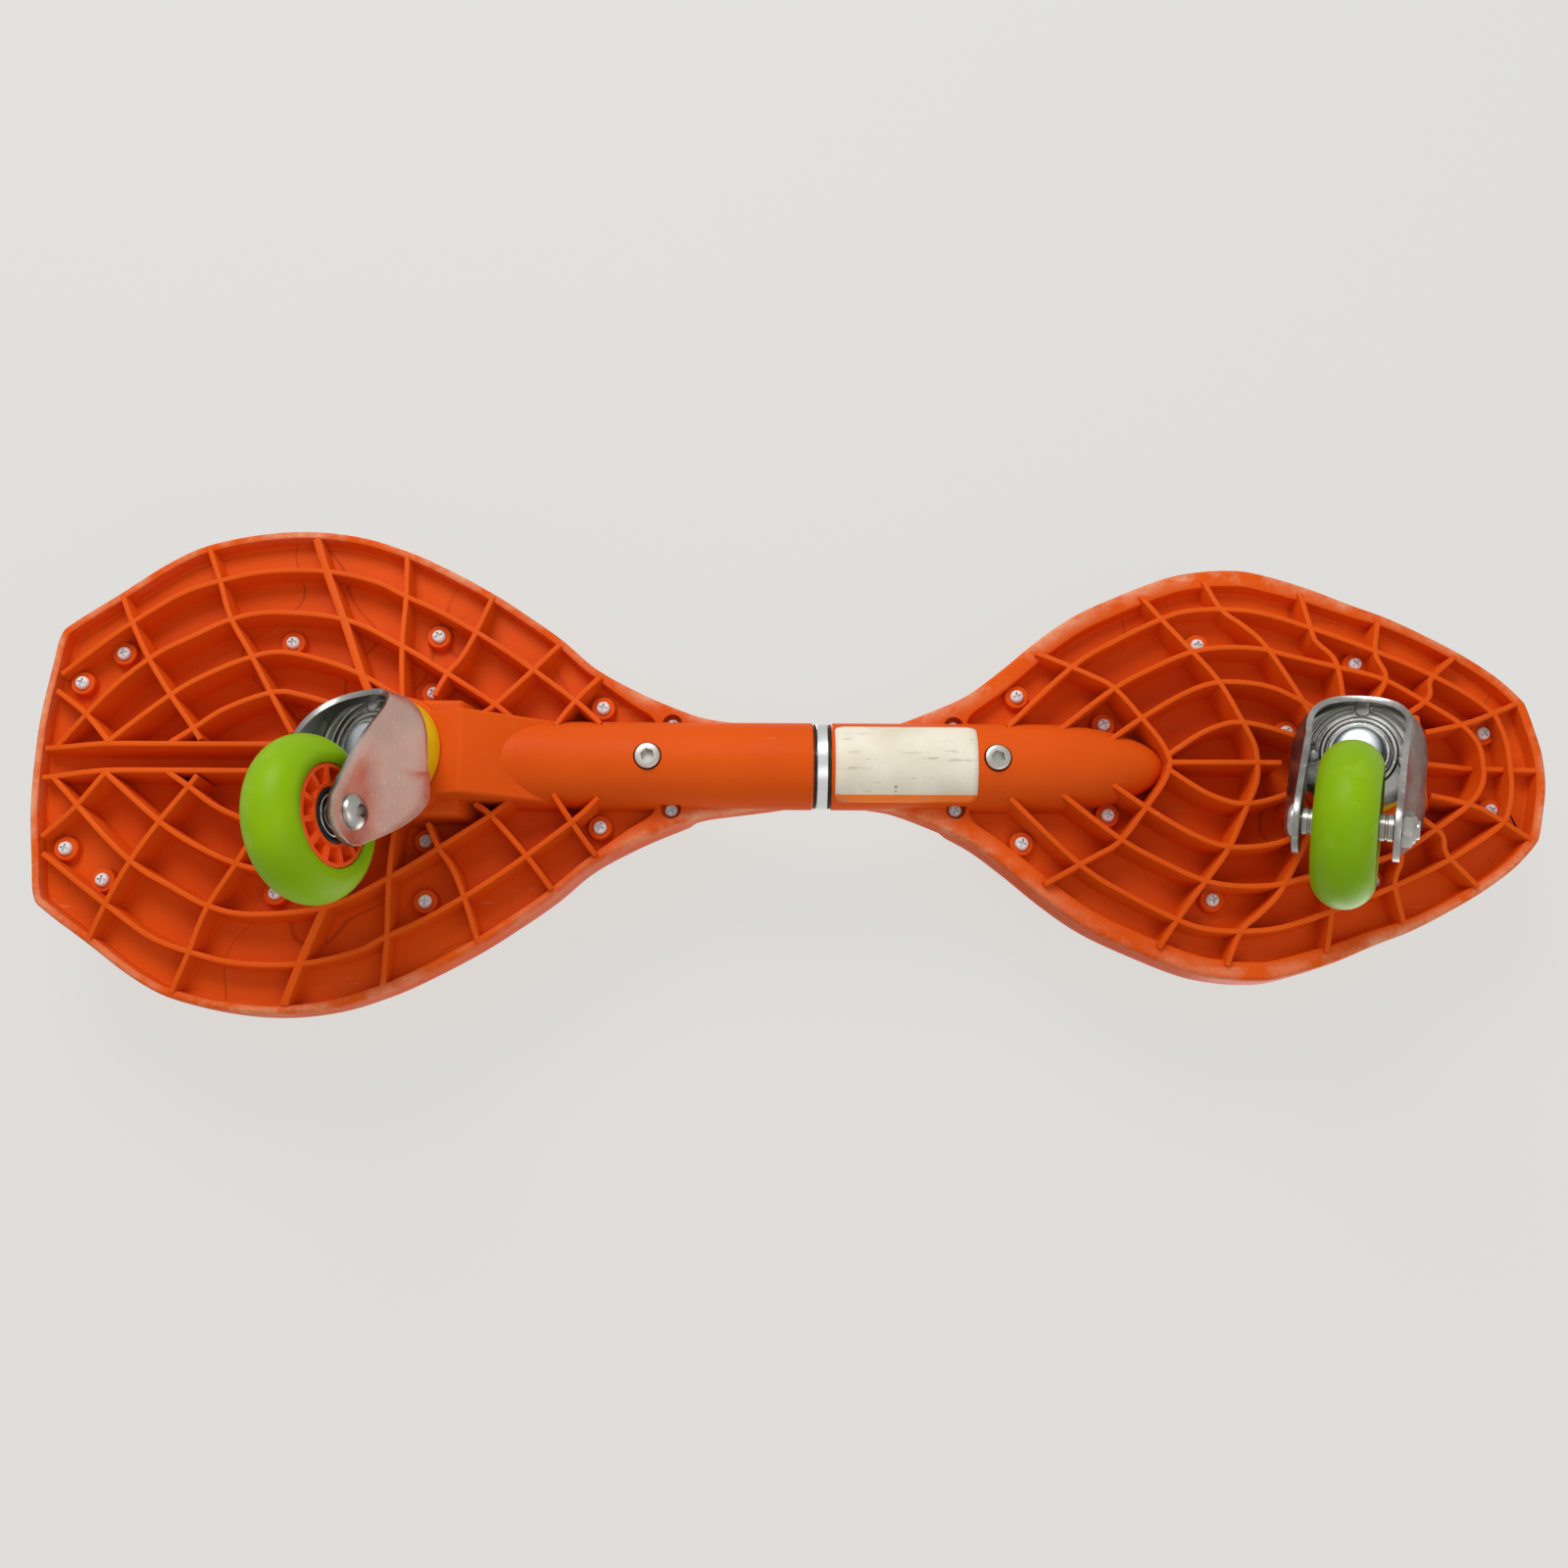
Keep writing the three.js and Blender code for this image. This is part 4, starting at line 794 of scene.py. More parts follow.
def deck_frame(deck):
    loop = outline(deck)
    base = solid(deck.name + "_deck_moulding", casing(deck, loop))
    base = combined(base, [solid("rib", shape) for shape in ribs(deck, loop)], "UNION")
    base = combined(base, [solid("room", shape) for shape in caster_room(deck)], "DIFFERENCE")
    shapes = [
        sleeve(deck), crest(deck, SLEEVE_RADIUS, SLEEVE_START, CREST_NOSE), seat_boss(deck), wedge(deck),
        plinth(deck),
    ]
    shapes += [screw_boss(*place) for place in screw_places(deck, [*deck.screws, *deck.more_screws])]
    base = combined(base, [solid("piece", shape) for shape in shapes], "UNION")
    bottom = -TUBE_AXIS - SLEEVE_RADIUS
    bore = TUBE_RADIUS + GAP if deck is rear else TUBE_RADIUS + BUSH_WALL + 2 * GAP
    depth = TUBE_REAR if deck is rear else TUBE_FRONT
    cuts = [
        upright(CLAMP_RECESS, bottom - OVERRUN, bottom + CLAMP_DEPTH, deck.way * CLAMP_PLACE, 0),
        along_x(rod(bore, 0, depth + OVERRUN, 64), deck.way),
    ]
    for x, y in screw_places(deck, [deck.neck_screw]):
        cuts.append(upright(NECK_RECESS_RADIUS, -NECK_RECESS_DEPTH, BOSS_DEPTH - RIM_DEPTH, x, y))
    base = combined(base, [solid("cut", shape) for shape in cuts], "DIFFERENCE")
    mark_wear(base, deck, loop)
    return show(base, DECK, deck.name + "_deck", "deck_plastic", deck.name + "_deck_frame", sharp=30)


def mark_wear(piece, deck, loop):
    """Stores how near each point is to the outer lower edge."""
    tree = kdtree.KDTree(len(loop))
    for index, point in enumerate(loop):
        tree.insert((deck.way * point.x, point.y, 0), index)
    tree.balance()
    wear = piece.data.attributes.new("wear", "FLOAT", "POINT")
    lift = BOARD.inverted()
    for vertex in piece.data.vertices:
        place = lift @ (vertex.co / MM)
        distance = tree.find((place.x, place.y, 0))[2]
        low = min(max((-place.z - WEAR_HIGHEST) / WEAR_DEPTH_FADE, 0), 1)
        if place.z <= -WEAR_LOWEST:
            low = 0
        wear.data[vertex.index].value = low * min(max((WEAR_REACH - distance) / WEAR_FADE, 0), 1)


# Riding plates
def stud(x, y):
    section = [(1, -STUD_SINK), (1, STUD_SHOULDER), (STUD_TOP_SHARE, STUD_HEIGHT)]
    rows = [around(STUD_RADIUS * share, PLATE_TOP + height, 10) for share, height in section]
    return moved(grid(rows, caps=True), Matrix.Translation((x, y, 0)))


def studs(deck, loop):
    edge = inset(loop, STUD_MARGIN)
    shapes = []
    pitch = STUD_PITCH * STUD_ROW_SHARE
    crest_end = CREST_LENGTH + CREST_NOSE + STUD_CREST_GAP
    for row in range(int(deck.reach / pitch)):
        along = (row + 0.5) * pitch
        limit = half_width_at(edge, along) if edge[0].x < along < deck.reach - STUD_END_GAP else 0
        for column in STUD_COLUMNS:
            across = (column + row % 2 / 2) * STUD_PITCH
            over_crest = along < crest_end and abs(across) < STUD_CREST_HALF
            if abs(across) < limit and along > deck.plate_start + STUD_START_GAP and not over_crest:
                shapes.append(stud(deck.way * along, across))
    return shapes


def deck_top(deck):
    loop = outline(deck)
    outer = round_start(cut_at(loop, deck.plate_start), PLATE_CORNER)
    inner_loop = cut_at(inset(loop, LIP_WIDTH), deck.plate_start + LIP_WIDTH)
    inner = round_start(inner_loop, PLATE_CORNER - LIP_WIDTH)
    plate = tray(deck, outer, inner, LIP_OUTER_PROFILE, LIP_INNER_PROFILE, PLATE_BOTTOM)
    base = solid(deck.name + "_deck_plate", plate)
    base = combined(base, [solid("cut", crest(deck, SLEEVE_RADIUS + GAP, 0, CREST_NOSE + GAP))], "DIFFERENCE")
    show(base, DECK_TOP, deck.name + "_deck", "deck_top_plastic", deck.name + "_deck_top")
    grip = solid(deck.name + "_grip_studs", joined(*studs(deck, loop)))
    show(grip, DECK_TOP, deck.name + "_deck", "deck_top_plastic")


# Fasteners
def screw_body():
    body = solid("screw_body", lathe(SCREW_PROFILE, 32), Matrix())
    long, wide = CROSS_HALF_LENGTH, CROSS_HALF_WIDTH
    corners = [(-long, -wide), (long, -wide), (long, wide), (-long, wide)]
    rows = [[(x, y, height) for x, y in corners] for height in CROSS_HEIGHTS]
    bars = []
    for turn in (0, math.pi / 2):
        bars.append(solid("bar", moved(grid(rows, caps=True), Matrix.Rotation(turn, 4, "Z")), Matrix()))
    return combined(body, bars, "DIFFERENCE")


def screws(deck, data):
    bosses = screw_places(deck, [*deck.screws, *deck.more_screws])
    places = [*screw_places(deck, [deck.neck_screw]), *bosses]
    counted = 2 + 2 * len(deck.screws)
    for index, (x, y) in enumerate(places):
        seat = BOSS_DEPTH - RIM_DEPTH if index < 2 else -BOSS_DEPTH
        piece = bpy.data.objects.new(f"{deck.name}_deck_screw_{index + 1:02d}", data)
        place = (BOARD @ Vector((x, y, seat - SCREW_SINK))) * MM
        turn = Matrix.Rotation(dice.uniform(0, SCREW_TURN_RADIANS), 4, "Z")
        piece.matrix_world = Matrix.Translation(place) @ turn
        bpy.context.scene.collection.objects.link(piece)
        if index < counted:
            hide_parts(f"{deck.name}_screw_{index + 1:02d}")
        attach(piece, deck.name + "_deck")


def socket_cut(radius, low, high):
    return solid("socket", rod(radius, low, high, 6, 0.3), Matrix())


def placed(piece, matrix):
    """A solid made about its own axis, put in its place."""
    piece.data.transform(Matrix.Scale(MM, 4) @ matrix @ Matrix.Scale(1 / MM, 4))
    return piece


def clamp_bolt(deck):
    seat = -TUBE_AXIS - SLEEVE_RADIUS + CLAMP_DEPTH - GAP
    top = -CLAMP_HEAD_HEIGHT
    profile = [
        (0, top), (CLAMP_HEAD - 0.6, top), (CLAMP_HEAD - 0.2, top + 0.15), (CLAMP_HEAD, top + 0.5),
        (CLAMP_HEAD, 0), (CLAMP_SHANK, 0), (CLAMP_SHANK, CLAMP_SHANK_LENGTH), (0, CLAMP_SHANK_LENGTH),
    ]
    head = solid(deck.name + "_socket_bolt", lathe(profile, 64), Matrix())
    bolt = combined(head, [socket_cut(CLAMP_SOCKET, *CLAMP_SOCKET_HEIGHTS)], "DIFFERENCE")
    placed(bolt, BOARD @ Matrix.Translation((deck.way * CLAMP_PLACE, 0, seat)))
    show(soften(bolt, 0.15), DULL_ALLOY, deck.name + "_deck", "zinc_steel", deck.name + "_clamp_bolt")


def torsion_tube():
    profile = [
        (TUBE_BORE, -TUBE_REAR), (TUBE_RADIUS, -TUBE_REAR), (TUBE_RADIUS, -COLLAR_HALF),
        (COLLAR_RADIUS - CHAMFER, -COLLAR_HALF), (COLLAR_RADIUS, CHAMFER - COLLAR_HALF),
        (COLLAR_RADIUS, COLLAR_HALF - CHAMFER), (COLLAR_RADIUS - CHAMFER, COLLAR_HALF),
        (TUBE_RADIUS, COLLAR_HALF), (TUBE_RADIUS, TUBE_FRONT), (TUBE_BORE, TUBE_FRONT),
        (TUBE_BORE, -TUBE_REAR),
    ]
    piece = solid("collared_tube", along_x(lathe(profile, 128)))
    show(piece, ALLOY, "rear_deck", "alloy", "torsion_tube")


def gasket(deck):
    near = COLLAR_HALF + GAP
    ring = tube(TUBE_RADIUS + GAP, COLLAR_RADIUS, near, near + GASKET_THICKNESS, 0.2)
    piece = solid(deck.name + "_seal", along_x(ring, deck.way))
    show(piece, RUBBER, deck.name + "_deck", "black_rubber", deck.name + "_joint_gasket")


# Casters
def fork_profile():
    """Trailing edge of a leg as points, from the crown down to the axle end."""
    start = Vector((-FORK_SHOULDER, -SHEET / 2))
    corner = Vector((-FORK_SHOULDER - FORK_END, -2 * SHEET))
    turn = math.radians(FORK_END_ANGLE)
    end = Vector((FORK_END * math.cos(turn) - AXLE_TRAIL, FORK_END * math.sin(turn) - AXLE_DROP))
    edge = [start.lerp(corner, s / 12).lerp(corner.lerp(end, s / 12), s / 12) for s in range(13)]
    edge.append(Vector((-AXLE_TRAIL - FORK_END, -AXLE_DROP)))
    return edge


def fork_low(x):
    """Lowest point of the leg at a place along it."""
    lead = FORK_HALF_WIDTH - FORK_SHIFT
    span = Vector((-AXLE_TRAIL - lead, FORK_SKIRT - AXLE_DROP))
    slant = math.atan2(span.y, span.x) + math.asin(FORK_END / span.length)
    touch = -AXLE_TRAIL + FORK_END * math.cos(slant + math.pi / 2)
    if x > touch:
        bulge = FORK_BULGE * math.sin(math.pi * min((lead - x) / (lead - touch), 1))
        return -FORK_SKIRT + math.tan(slant) * (x - lead) - bulge
    return -AXLE_DROP - math.sqrt(max(FORK_END ** 2 - (x + AXLE_TRAIL) ** 2, 0))


def drawn_in(point):
    """A point of the fork moved in across it, as the legs draw in towards the axle."""
    share = min(max((-SHEET - point.z) / (AXLE_DROP - FORK_END - SHEET), 0), 1)
    half = FORK_HALF_WIDTH - SHEET / 2
    return Vector((point.x, point.y * (1 + share * (FORK_AXLE_HALF - FORK_HALF_WIDTH) / half), point.z))


def ray_to_circle(angle, centre, radius):
    along = centre * math.cos(angle)
    return along + math.sqrt(along ** 2 - centre ** 2 + radius ** 2)


def ray_to_wall(angle, half):
    """Distance from the kingpin to the squarish rounded wall of the fork."""
    near, far = 0, 2 * half
    for _ in range(30):
        reach = (near + far) / 2
        out = max(reach * math.cos(angle) + FORK_SHIFT, 0) / half
        across = abs(reach * math.sin(angle)) / half
        if out ** FORK_SQUARENESS + across ** FORK_SQUARENESS < 1:
            near = reach
        else:
            far = reach
    return far


def fork_shape():
    half = FORK_HALF_WIDTH - SHEET / 2
    tail_radius = FORK_HALF_WIDTH + FORK_SHIFT
    top = -SHEET / 2

    def tail_reach(angle):
        return ray_to_circle(angle, tail_radius - CROWN_REACH, tail_radius)

    def bend_start(angle):
        reach = ray_to_wall(angle, half)
        return reach - min(FORK_BEND, reach - SLOT_OUTER - BEND_GAP)

    corner = math.radians(CORNER_START)
    while bend_start(corner) < tail_reach(corner):
        corner += CORNER_STEP_RADIANS
    slot_start, slot_end = [math.radians(angle) for angle in SLOT_ANGLES]
    stops = [-corner, -slot_end, -slot_start, slot_start, slot_end, corner]
    angles = []
    for start, end, steps in zip(stops, stops[1:], ARC_STEPS):
        angles += [start + (end - start) * step / steps for step in range(steps)]
    angles.append(corner)
    tail = [corner + 2 * (math.pi - corner) * step / TAIL_STEPS for step in range(TAIL_STEPS + 1)]

    def polar(angle, reach, height):
        return Vector((reach * math.cos(angle), reach * math.sin(angle), height))

    rings = [CROWN_HOLE, CROWN_RING, SLOT_INNER, SLOT_OUTER]
    bends = [math.radians(turn) for turn in BEND_ANGLES]
    columns = []
    for angle in angles:
        reach = ray_to_wall(angle, half)
        column = [polar(angle, ring, top) for ring in rings]
        size = reach - bend_start(angle)
        for bend in bends:
            inwards = size * (1 - math.sin(bend))
            column.append(polar(angle, reach - inwards, top - size * (1 - math.cos(bend))))
        foot = fork_low(reach * math.cos(angle))
        start = top - size
        shares = [step / LEG_STEPS for step in range(1, LEG_STEPS + 1)]
        column += [polar(angle, reach, start + (foot - start) * share) for share in shares]
        columns.append(column)
    sheet = grid(columns, closed=False)
    width = len(columns[0])
    slot_faces = []
    for index, (near, far) in enumerate(zip(angles, angles[1:])):
        middle = abs(near + far) / 2
        for ring in range(width - 1):
            if not (ring == rings.index(SLOT_INNER) and slot_start < middle < slot_end):
                slot_faces.append(sheet[1][index * (width - 1) + ring])
    tail_rows = []
    for angle in tail:
        reach = tail_reach(angle) if tail[0] < angle < tail[-1] else bend_start(angle)
        tail_rows.append([*[polar(angle, ring, top) for ring in rings], polar(angle, reach, top)])
    legs = []
    for side, column in ((-1, columns[0]), (1, columns[-1])):
        rows = [column[len(rings):]]
        count = len(rows[0]) - 1
        for point in [*[Vector((x, top)) for x in FORK_EDGE_STARTS], *fork_profile()]:
            drop = (fork_low(point.x) - point.y) / count
            rows.append([Vector((point.x, side * half, point.y + drop * k)) for k in range(count + 1)])
        legs.append(grid(rows, closed=False))
    points, faces = joined((sheet[0], slot_faces), grid(tail_rows, closed=False), *legs)
    return [drawn_in(point) for point in points], faces


def slot_bead(side):
    """Rolled edge round a slot in the crown."""
    start, end = [math.radians(angle) for angle in SLOT_ANGLES]
    middle = (SLOT_INNER + SLOT_OUTER) / 2
    reach = (SLOT_OUTER - SLOT_INNER) / 2 + SLOT_BEAD
    path = []
    for way in (1, -1):
        arc = [start + (end - start) * step / 16 for step in range(17)][::way]
        path += [((middle + way * reach) * math.cos(a), (middle + way * reach) * math.sin(a)) for a in arc]
        tip = arc[-1]
        for turn in [math.pi * step / 6 for step in range(1, 6)]:
            out = middle + way * reach * math.cos(turn)
            along = way * reach * math.sin(turn)
            cosine, sine = math.cos(tip), math.sin(tip)
            path.append((out * cosine - along * sine, out * sine + along * cosine))
    loop = [Vector((x, side * y)) for x, y in path]
    rows = []
    for amount, height in BEAD_PROFILE:
        rows.append([(p.x, p.y, height - SHEET) for p in inset(loop, side * amount)])
    return grid([*rows, rows[0]])


def fork(deck, matrix):
    piece = solid(deck.name + "_pressed_fork", fork_shape(), matrix)
    thick = piece.modifiers.new("sheet", "SOLIDIFY")
    thick.thickness = SHEET * MM
    thick.offset = 0
    thick.use_even_offset = True
    thick.material_offset = 1
    thick.material_offset_rim = 2
    soften(piece, FORK_SOFTNESS)
    # Outer face: pink steel on the rear fork is a painted reflection of the decks, and the darker copy on the
    # front fork is painted shade
    outer = REAR_FORK_PAINTED_REFLECTION if deck is rear else FRONT_FORK_PAINTED_SHADE
    show(piece, outer, deck.name + "_caster", "fork_steel", deck.name + "_fork", sharp=50)
    # The inside of the sheet takes the darker steel, painted shade
    piece.data.materials.append(FORK_INSIDE_PAINTED_SHADE)
    piece.data.materials.append(EDGE_STEEL)
    marks = [lathe(raised(LIP_PROFILE, -SHEET), 72), slot_bead(1), slot_bead(-1)]
    for angle in DIMPLE_ANGLES:
        place = Matrix.Rotation(math.radians(angle), 4, "Z") @ Vector((DIMPLE_PLACE, 0, 0))
        marks.append(moved(lathe(raised(DIMPLE_PROFILE, -SHEET), 28), Matrix.Translation(place)))
    piece = solid(deck.name + "_crown_marks", joined(*marks), matrix)
    show(piece, EDGE_STEEL, deck.name + "_caster", "fork_steel")


def kingpin(deck, lean):
    seat = -SHEET - KINGPIN_WASHER - GAP
    top = SEAT_HEIGHT + KINGPIN_REACH
    shank = [(KINGPIN_RADIUS, seat), (KINGPIN_RADIUS, top), (0, top)]
    profile = [*raised(KINGPIN_PROFILE, seat), *shank]
    piece = solid(deck.name + "_domed_kingpin", lathe(profile, 72), lean)
    show(piece, POLISHED, deck.name + "_deck", "zinc_steel", deck.name + "_kingpin")


def swivel_race(deck, matrix):
    start = (RACE_BORE, RACE_RIM_PROFILE[0][1])
    high = SEAT_HEIGHT - GAP
    collar = [(RACE_RADIUS, RACE_TOP), (RACE_RADIUS, high), (RACE_BORE, high)]
    profile = [start, *RACE_RIM_PROFILE, *collar, start]
    piece = solid(deck.name + "_race", lathe(profile, 72), matrix)
    show(piece, BEARING, deck.name + "_caster", "zinc_steel", deck.name + "_swivel_race")


def dust_ring(deck, lean):
    top = SEAT_HEIGHT - GAP
    edge = [*RING_FOOT_PROFILE, *raised(RING_TOP_PROFILE, top)]
    rim = [(RING_RADIUS + inwards, height) for inwards, height in edge]
    profile = [(RING_BORE, RING_FOOT), *rim, (RING_BORE, top), (RING_BORE, RING_FOOT)]
    piece = solid(deck.name + "_yellow_ring", lathe(profile, 96), lean)
    show(piece, YELLOW, deck.name + "_deck", "ring_plastic", deck.name + "_dust_ring")


def axle_bolt(deck, matrix):
    seat = FORK_AXLE_HALF + GAP / 2
    edge = seat + BUTTON_EDGE
    turns = [math.pi * step / 20 for step in range(10)]
    dome = [(BUTTON_RADIUS * math.cos(turn), edge + BUTTON_DOME * math.sin(turn)) for turn in turns]
    tip = -FORK_AXLE_HALF - AXLE_TIP_REACH
    profile = [
        (0, tip), (AXLE_RADIUS - AXLE_TIP_CHAMFER, tip), (AXLE_RADIUS, tip + AXLE_TIP_CHAMFER),
        (AXLE_RADIUS, seat), (BUTTON_RADIUS, seat), *dome, (0, edge + BUTTON_DOME),
    ]
    bolt = solid(deck.name + "_button_bolt", lathe(profile, 64), Matrix())
    low, high = [seat + height for height in BUTTON_SOCKET_HEIGHTS]
    bolt = combined(bolt, [socket_cut(BUTTON_SOCKET, low, high)], "DIFFERENCE")
    placed(bolt, matrix)
    show(soften(bolt, 0.12), ZINC, deck.name + "_caster", "zinc_steel", deck.name + "_axle_bolt")


def axle_nut(deck, matrix):
    near = -FORK_AXLE_HALF - GAP / 2
    far = near - NUT_HEIGHT
    hexagon = solid(deck.name + "_lock_nut", rod(NUT_CORNER, far, near, 6), Matrix())
    body = solid("body", lathe(raised(NUT_PROFILE, near), 64), Matrix())
    nut = combined(hexagon, [body], "INTERSECT")
    bore = solid("bore", rod(NUT_BORE, far - OVERRUN, near + OVERRUN, 40), Matrix())
    nut = placed(combined(nut, [bore], "DIFFERENCE"), matrix)
    show(soften(nut, 0.12), ZINC, deck.name + "_caster", "zinc_steel", deck.name + "_axle_nut")


def axle_spacers(deck, matrix):
    for side, name in ((-1, "inner"), (1, "outer")):
        near = HUB_HALF + GAP
        far = FORK_AXLE_HALF - SHEET - GAP
        middle = (near + far) / 2
        profile = [
            (SPACER_BORE, near), (SPACER_RADIUS - CHAMFER, near), (SPACER_RADIUS, near + CHAMFER),
            (SPACER_RADIUS, middle - 2 * CHAMFER), (SPACER_GROOVE, middle - CHAMFER),
            (SPACER_GROOVE, middle + CHAMFER), (SPACER_RADIUS, middle + 2 * CHAMFER),
            (SPACER_RADIUS, far - CHAMFER), (SPACER_RADIUS - CHAMFER, far), (SPACER_BORE, far),
            (SPACER_BORE, near),
        ]
        shape = lathe([(radius, side * height) for radius, height in profile], 48)
        piece = solid(f"{deck.name}_{name}_spacer", shape, matrix)
        show(piece, DULL_ALLOY, deck.name + "_caster", "alloy", f"{deck.name}_axle_spacer_{name}")


def tyre(deck, matrix):
    centre = TYRE_RADIUS - TYRE_HALF
    turns = [TYRE_TURN * (2 * step / TYRE_STEPS - 1) for step in range(TYRE_STEPS + 1)]
    arc = [math.radians(turn) for turn in turns]
    tread = [(centre + TYRE_HALF * math.cos(a), TYRE_HALF * math.sin(a)) for a in arc]
    edge = [(HUB_RADIUS + GAP + out, height) for out, height in TYRE_EDGE_PROFILE]
    low_edge = [(radius, -height) for radius, height in edge]
    profile = [*low_edge, *tread, *reversed(edge), low_edge[0]]
    piece = solid(deck.name + "_urethane_tyre", lathe(profile, 128), matrix)
    show(piece, TYRE, deck.name + "_wheel", "tyre_lime", deck.name + "_tyre")


def pocket_edge(middle, shrink):
    """Closed outline of one pocket between two spokes of the hub."""
    edge = []
    for radius, way in zip((POCKET_RADII[0] + shrink, POCKET_RADII[1] - shrink), (1, -1)):
        spread = math.pi / POCKETS - (POCKET_WALL / 2 + shrink) / radius
        for step in range(7):
            angle = middle + way * spread * (step / 3 - 1)
            edge.append((radius * math.cos(angle), radius * math.sin(angle)))
    return edge


def hub(deck, matrix):
    half = HUB_HALF
    seat = half - BEARING_WIDTH - GAP
    bore = BEARING_RADIUS + GAP / 2
    profile = [
        (HUB_BORE, -seat), (bore, -seat), (bore, -half + 0.6), (bore + 0.5, -half), (HUB_RADIUS - 0.4, -half),
        (HUB_RADIUS + 0.1, -half + 0.5), (HUB_RADIUS + 0.1, half - 0.5), (HUB_RADIUS - 0.4, half),
        (bore + 0.5, half), (bore, half - 0.6), (bore, seat), (HUB_BORE, seat), (HUB_BORE, -seat),
    ]
    core = solid(deck.name + "_spoked_hub", lathe(profile, 108), Matrix())
    cuts = []
    for index in range(POCKETS):
        for side in (1, -1):
            rows = []
            for height, shrink in ((half + OVERRUN, 0), (half - POCKET_DEPTH, POCKET_DRAFT)):
                row = pocket_edge(2 * math.pi * index / POCKETS, shrink)
                rows.append([(x, y, side * height) for x, y in row])
            cuts.append(solid("pocket", grid(rows, caps=True), Matrix()))
    core = placed(combined(core, cuts, "DIFFERENCE"), matrix)
    show(soften(core, 0.22), HUB, deck.name + "_wheel", "hub_plastic", deck.name + "_wheel_hub")


def bearings(deck, matrix):
    for side, name in ((-1, "inner"), (1, "outer")):
        face = HUB_HALF
        rings = [
            tube(8, 8.7, face - 1.2, face + 0.05, 0.2),
            tube(4.25, 5.9, face - BEARING_WIDTH, face, 0.25),
        ]
        shield = lathe(raised(SHIELD_PROFILE, face), 72)
        turn = Matrix.Scale(side, 4, (0, 0, 1))
        node = f"{deck.name}_wheel_bearing_{name}"
        piece = solid(f"{deck.name}_{name}_bearing_rings", moved(joined(*rings), turn), matrix)
        show(piece, BEARING, deck.name + "_wheel", "bearing_steel", node)
        piece = solid(f"{deck.name}_{name}_bearing_shield", moved(shield, turn), matrix)
        show(piece, RUBBER, deck.name + "_wheel", "black_rubber")


def label():
    rows = []
    start, end = [math.radians(angle) for angle in LABEL_ANGLES]
    radius = SLEEVE_RADIUS + LABEL_LIFT
    width = radius * (end - start)
    for step in range(LABEL_ROWS + 1):
        across = width * step / LABEL_ROWS
        near = min(across, width - across)
        cut = LABEL_CORNER - math.sqrt(max(LABEL_CORNER ** 2 - max(LABEL_CORNER - near, 0) ** 2, 0))
        angle = start + across / radius
        low, high = LABEL_START + cut, LABEL_END - cut
        row = []
        for column in range(LABEL_COLUMNS + 1):
            along = low + (high - low) * column / LABEL_COLUMNS
            row.append((along, radius * math.sin(angle), -TUBE_AXIS - radius * math.cos(angle)))
        rows.append(row)
    piece = solid("blank_label", grid(rows, closed=False))
    show(piece, PAPER, "front_deck", "deck_top_plastic")
    piece.data.materials.append(STRIP)
    lift = BOARD.inverted()
    for face in piece.data.polygons:
        place = lift @ (face.center / MM)
        face.material_index = int(math.atan2(place.y, -TUBE_AXIS - place.z) > math.radians(LABEL_STRIP))
    skin = piece.modifiers.new("skin", "SOLIDIFY")
    skin.thickness = LABEL_THICKNESS * MM
    skin.offset = 0


# Materials
def add_node(tree, kind, inputs=None, **settings):
    node = tree.nodes.new(kind)
    for key, value in settings.items():
        setattr(node, key, value)
    for key, value in (inputs or {}).items():
        if isinstance(value, bpy.types.NodeSocket):
            tree.links.new(value, node.inputs[key])
        else:
            node.inputs[key].default_value = value
    return node


def opaque(colour):
    """A colour with its fourth channel, where it isn't a socket."""
    return colour if isinstance(colour, bpy.types.NodeSocket) else (*colour, 1)


def noise(tree, vector, scale, detail=4, stretch=None, roughness=0.5):
    if stretch:
        vector = add_node(tree, "ShaderNodeMapping", {"Vector": vector, "Scale": stretch}).outputs[0]
    inputs = {"Vector": vector, "Scale": scale, "Detail": detail, "Roughness": roughness}
    return add_node(tree, "ShaderNodeTexNoise", inputs).outputs[0]


def ramp(tree, value, low, high, start=0, end=1):
    inputs = {"Value": value, "From Min": low, "From Max": high, "To Min": start, "To Max": end}
    return add_node(tree, "ShaderNodeMapRange", inputs).outputs[0]


def math_node(tree, operation, first, second):
    return add_node(tree, "ShaderNodeMath", {0: first, 1: second}, operation=operation).outputs[0]


def mix(tree, factor, first, second):
    inputs = {0: factor, 6: opaque(first), 7: opaque(second)}
    return add_node(tree, "ShaderNodeMix", inputs, data_type="RGBA").outputs[2]


def shader(name, metallic=0, **values):
    material = bpy.data.materials.new(name)
    material.use_nodes = True
    tree = material.node_tree
    principled = tree.nodes["Principled BSDF"]
    principled.inputs["Metallic"].default_value = metallic
    for key, value in values.items():
        principled.inputs[key.replace("_", " ")].default_value = value
    place = add_node(tree, "ShaderNodeTexCoord").outputs["Object"]
    return material, tree, principled, place


def finish(tree, principled, colour, roughness, height, strength, distance):
    tree.links.new(colour, principled.inputs["Base Color"])
    tree.links.new(roughness, principled.inputs["Roughness"])
    bump = add_node(tree, "ShaderNodeBump", {"Height": height, "Strength": strength, "Distance": distance})
    tree.links.new(bump.outputs[0], principled.inputs["Normal"])


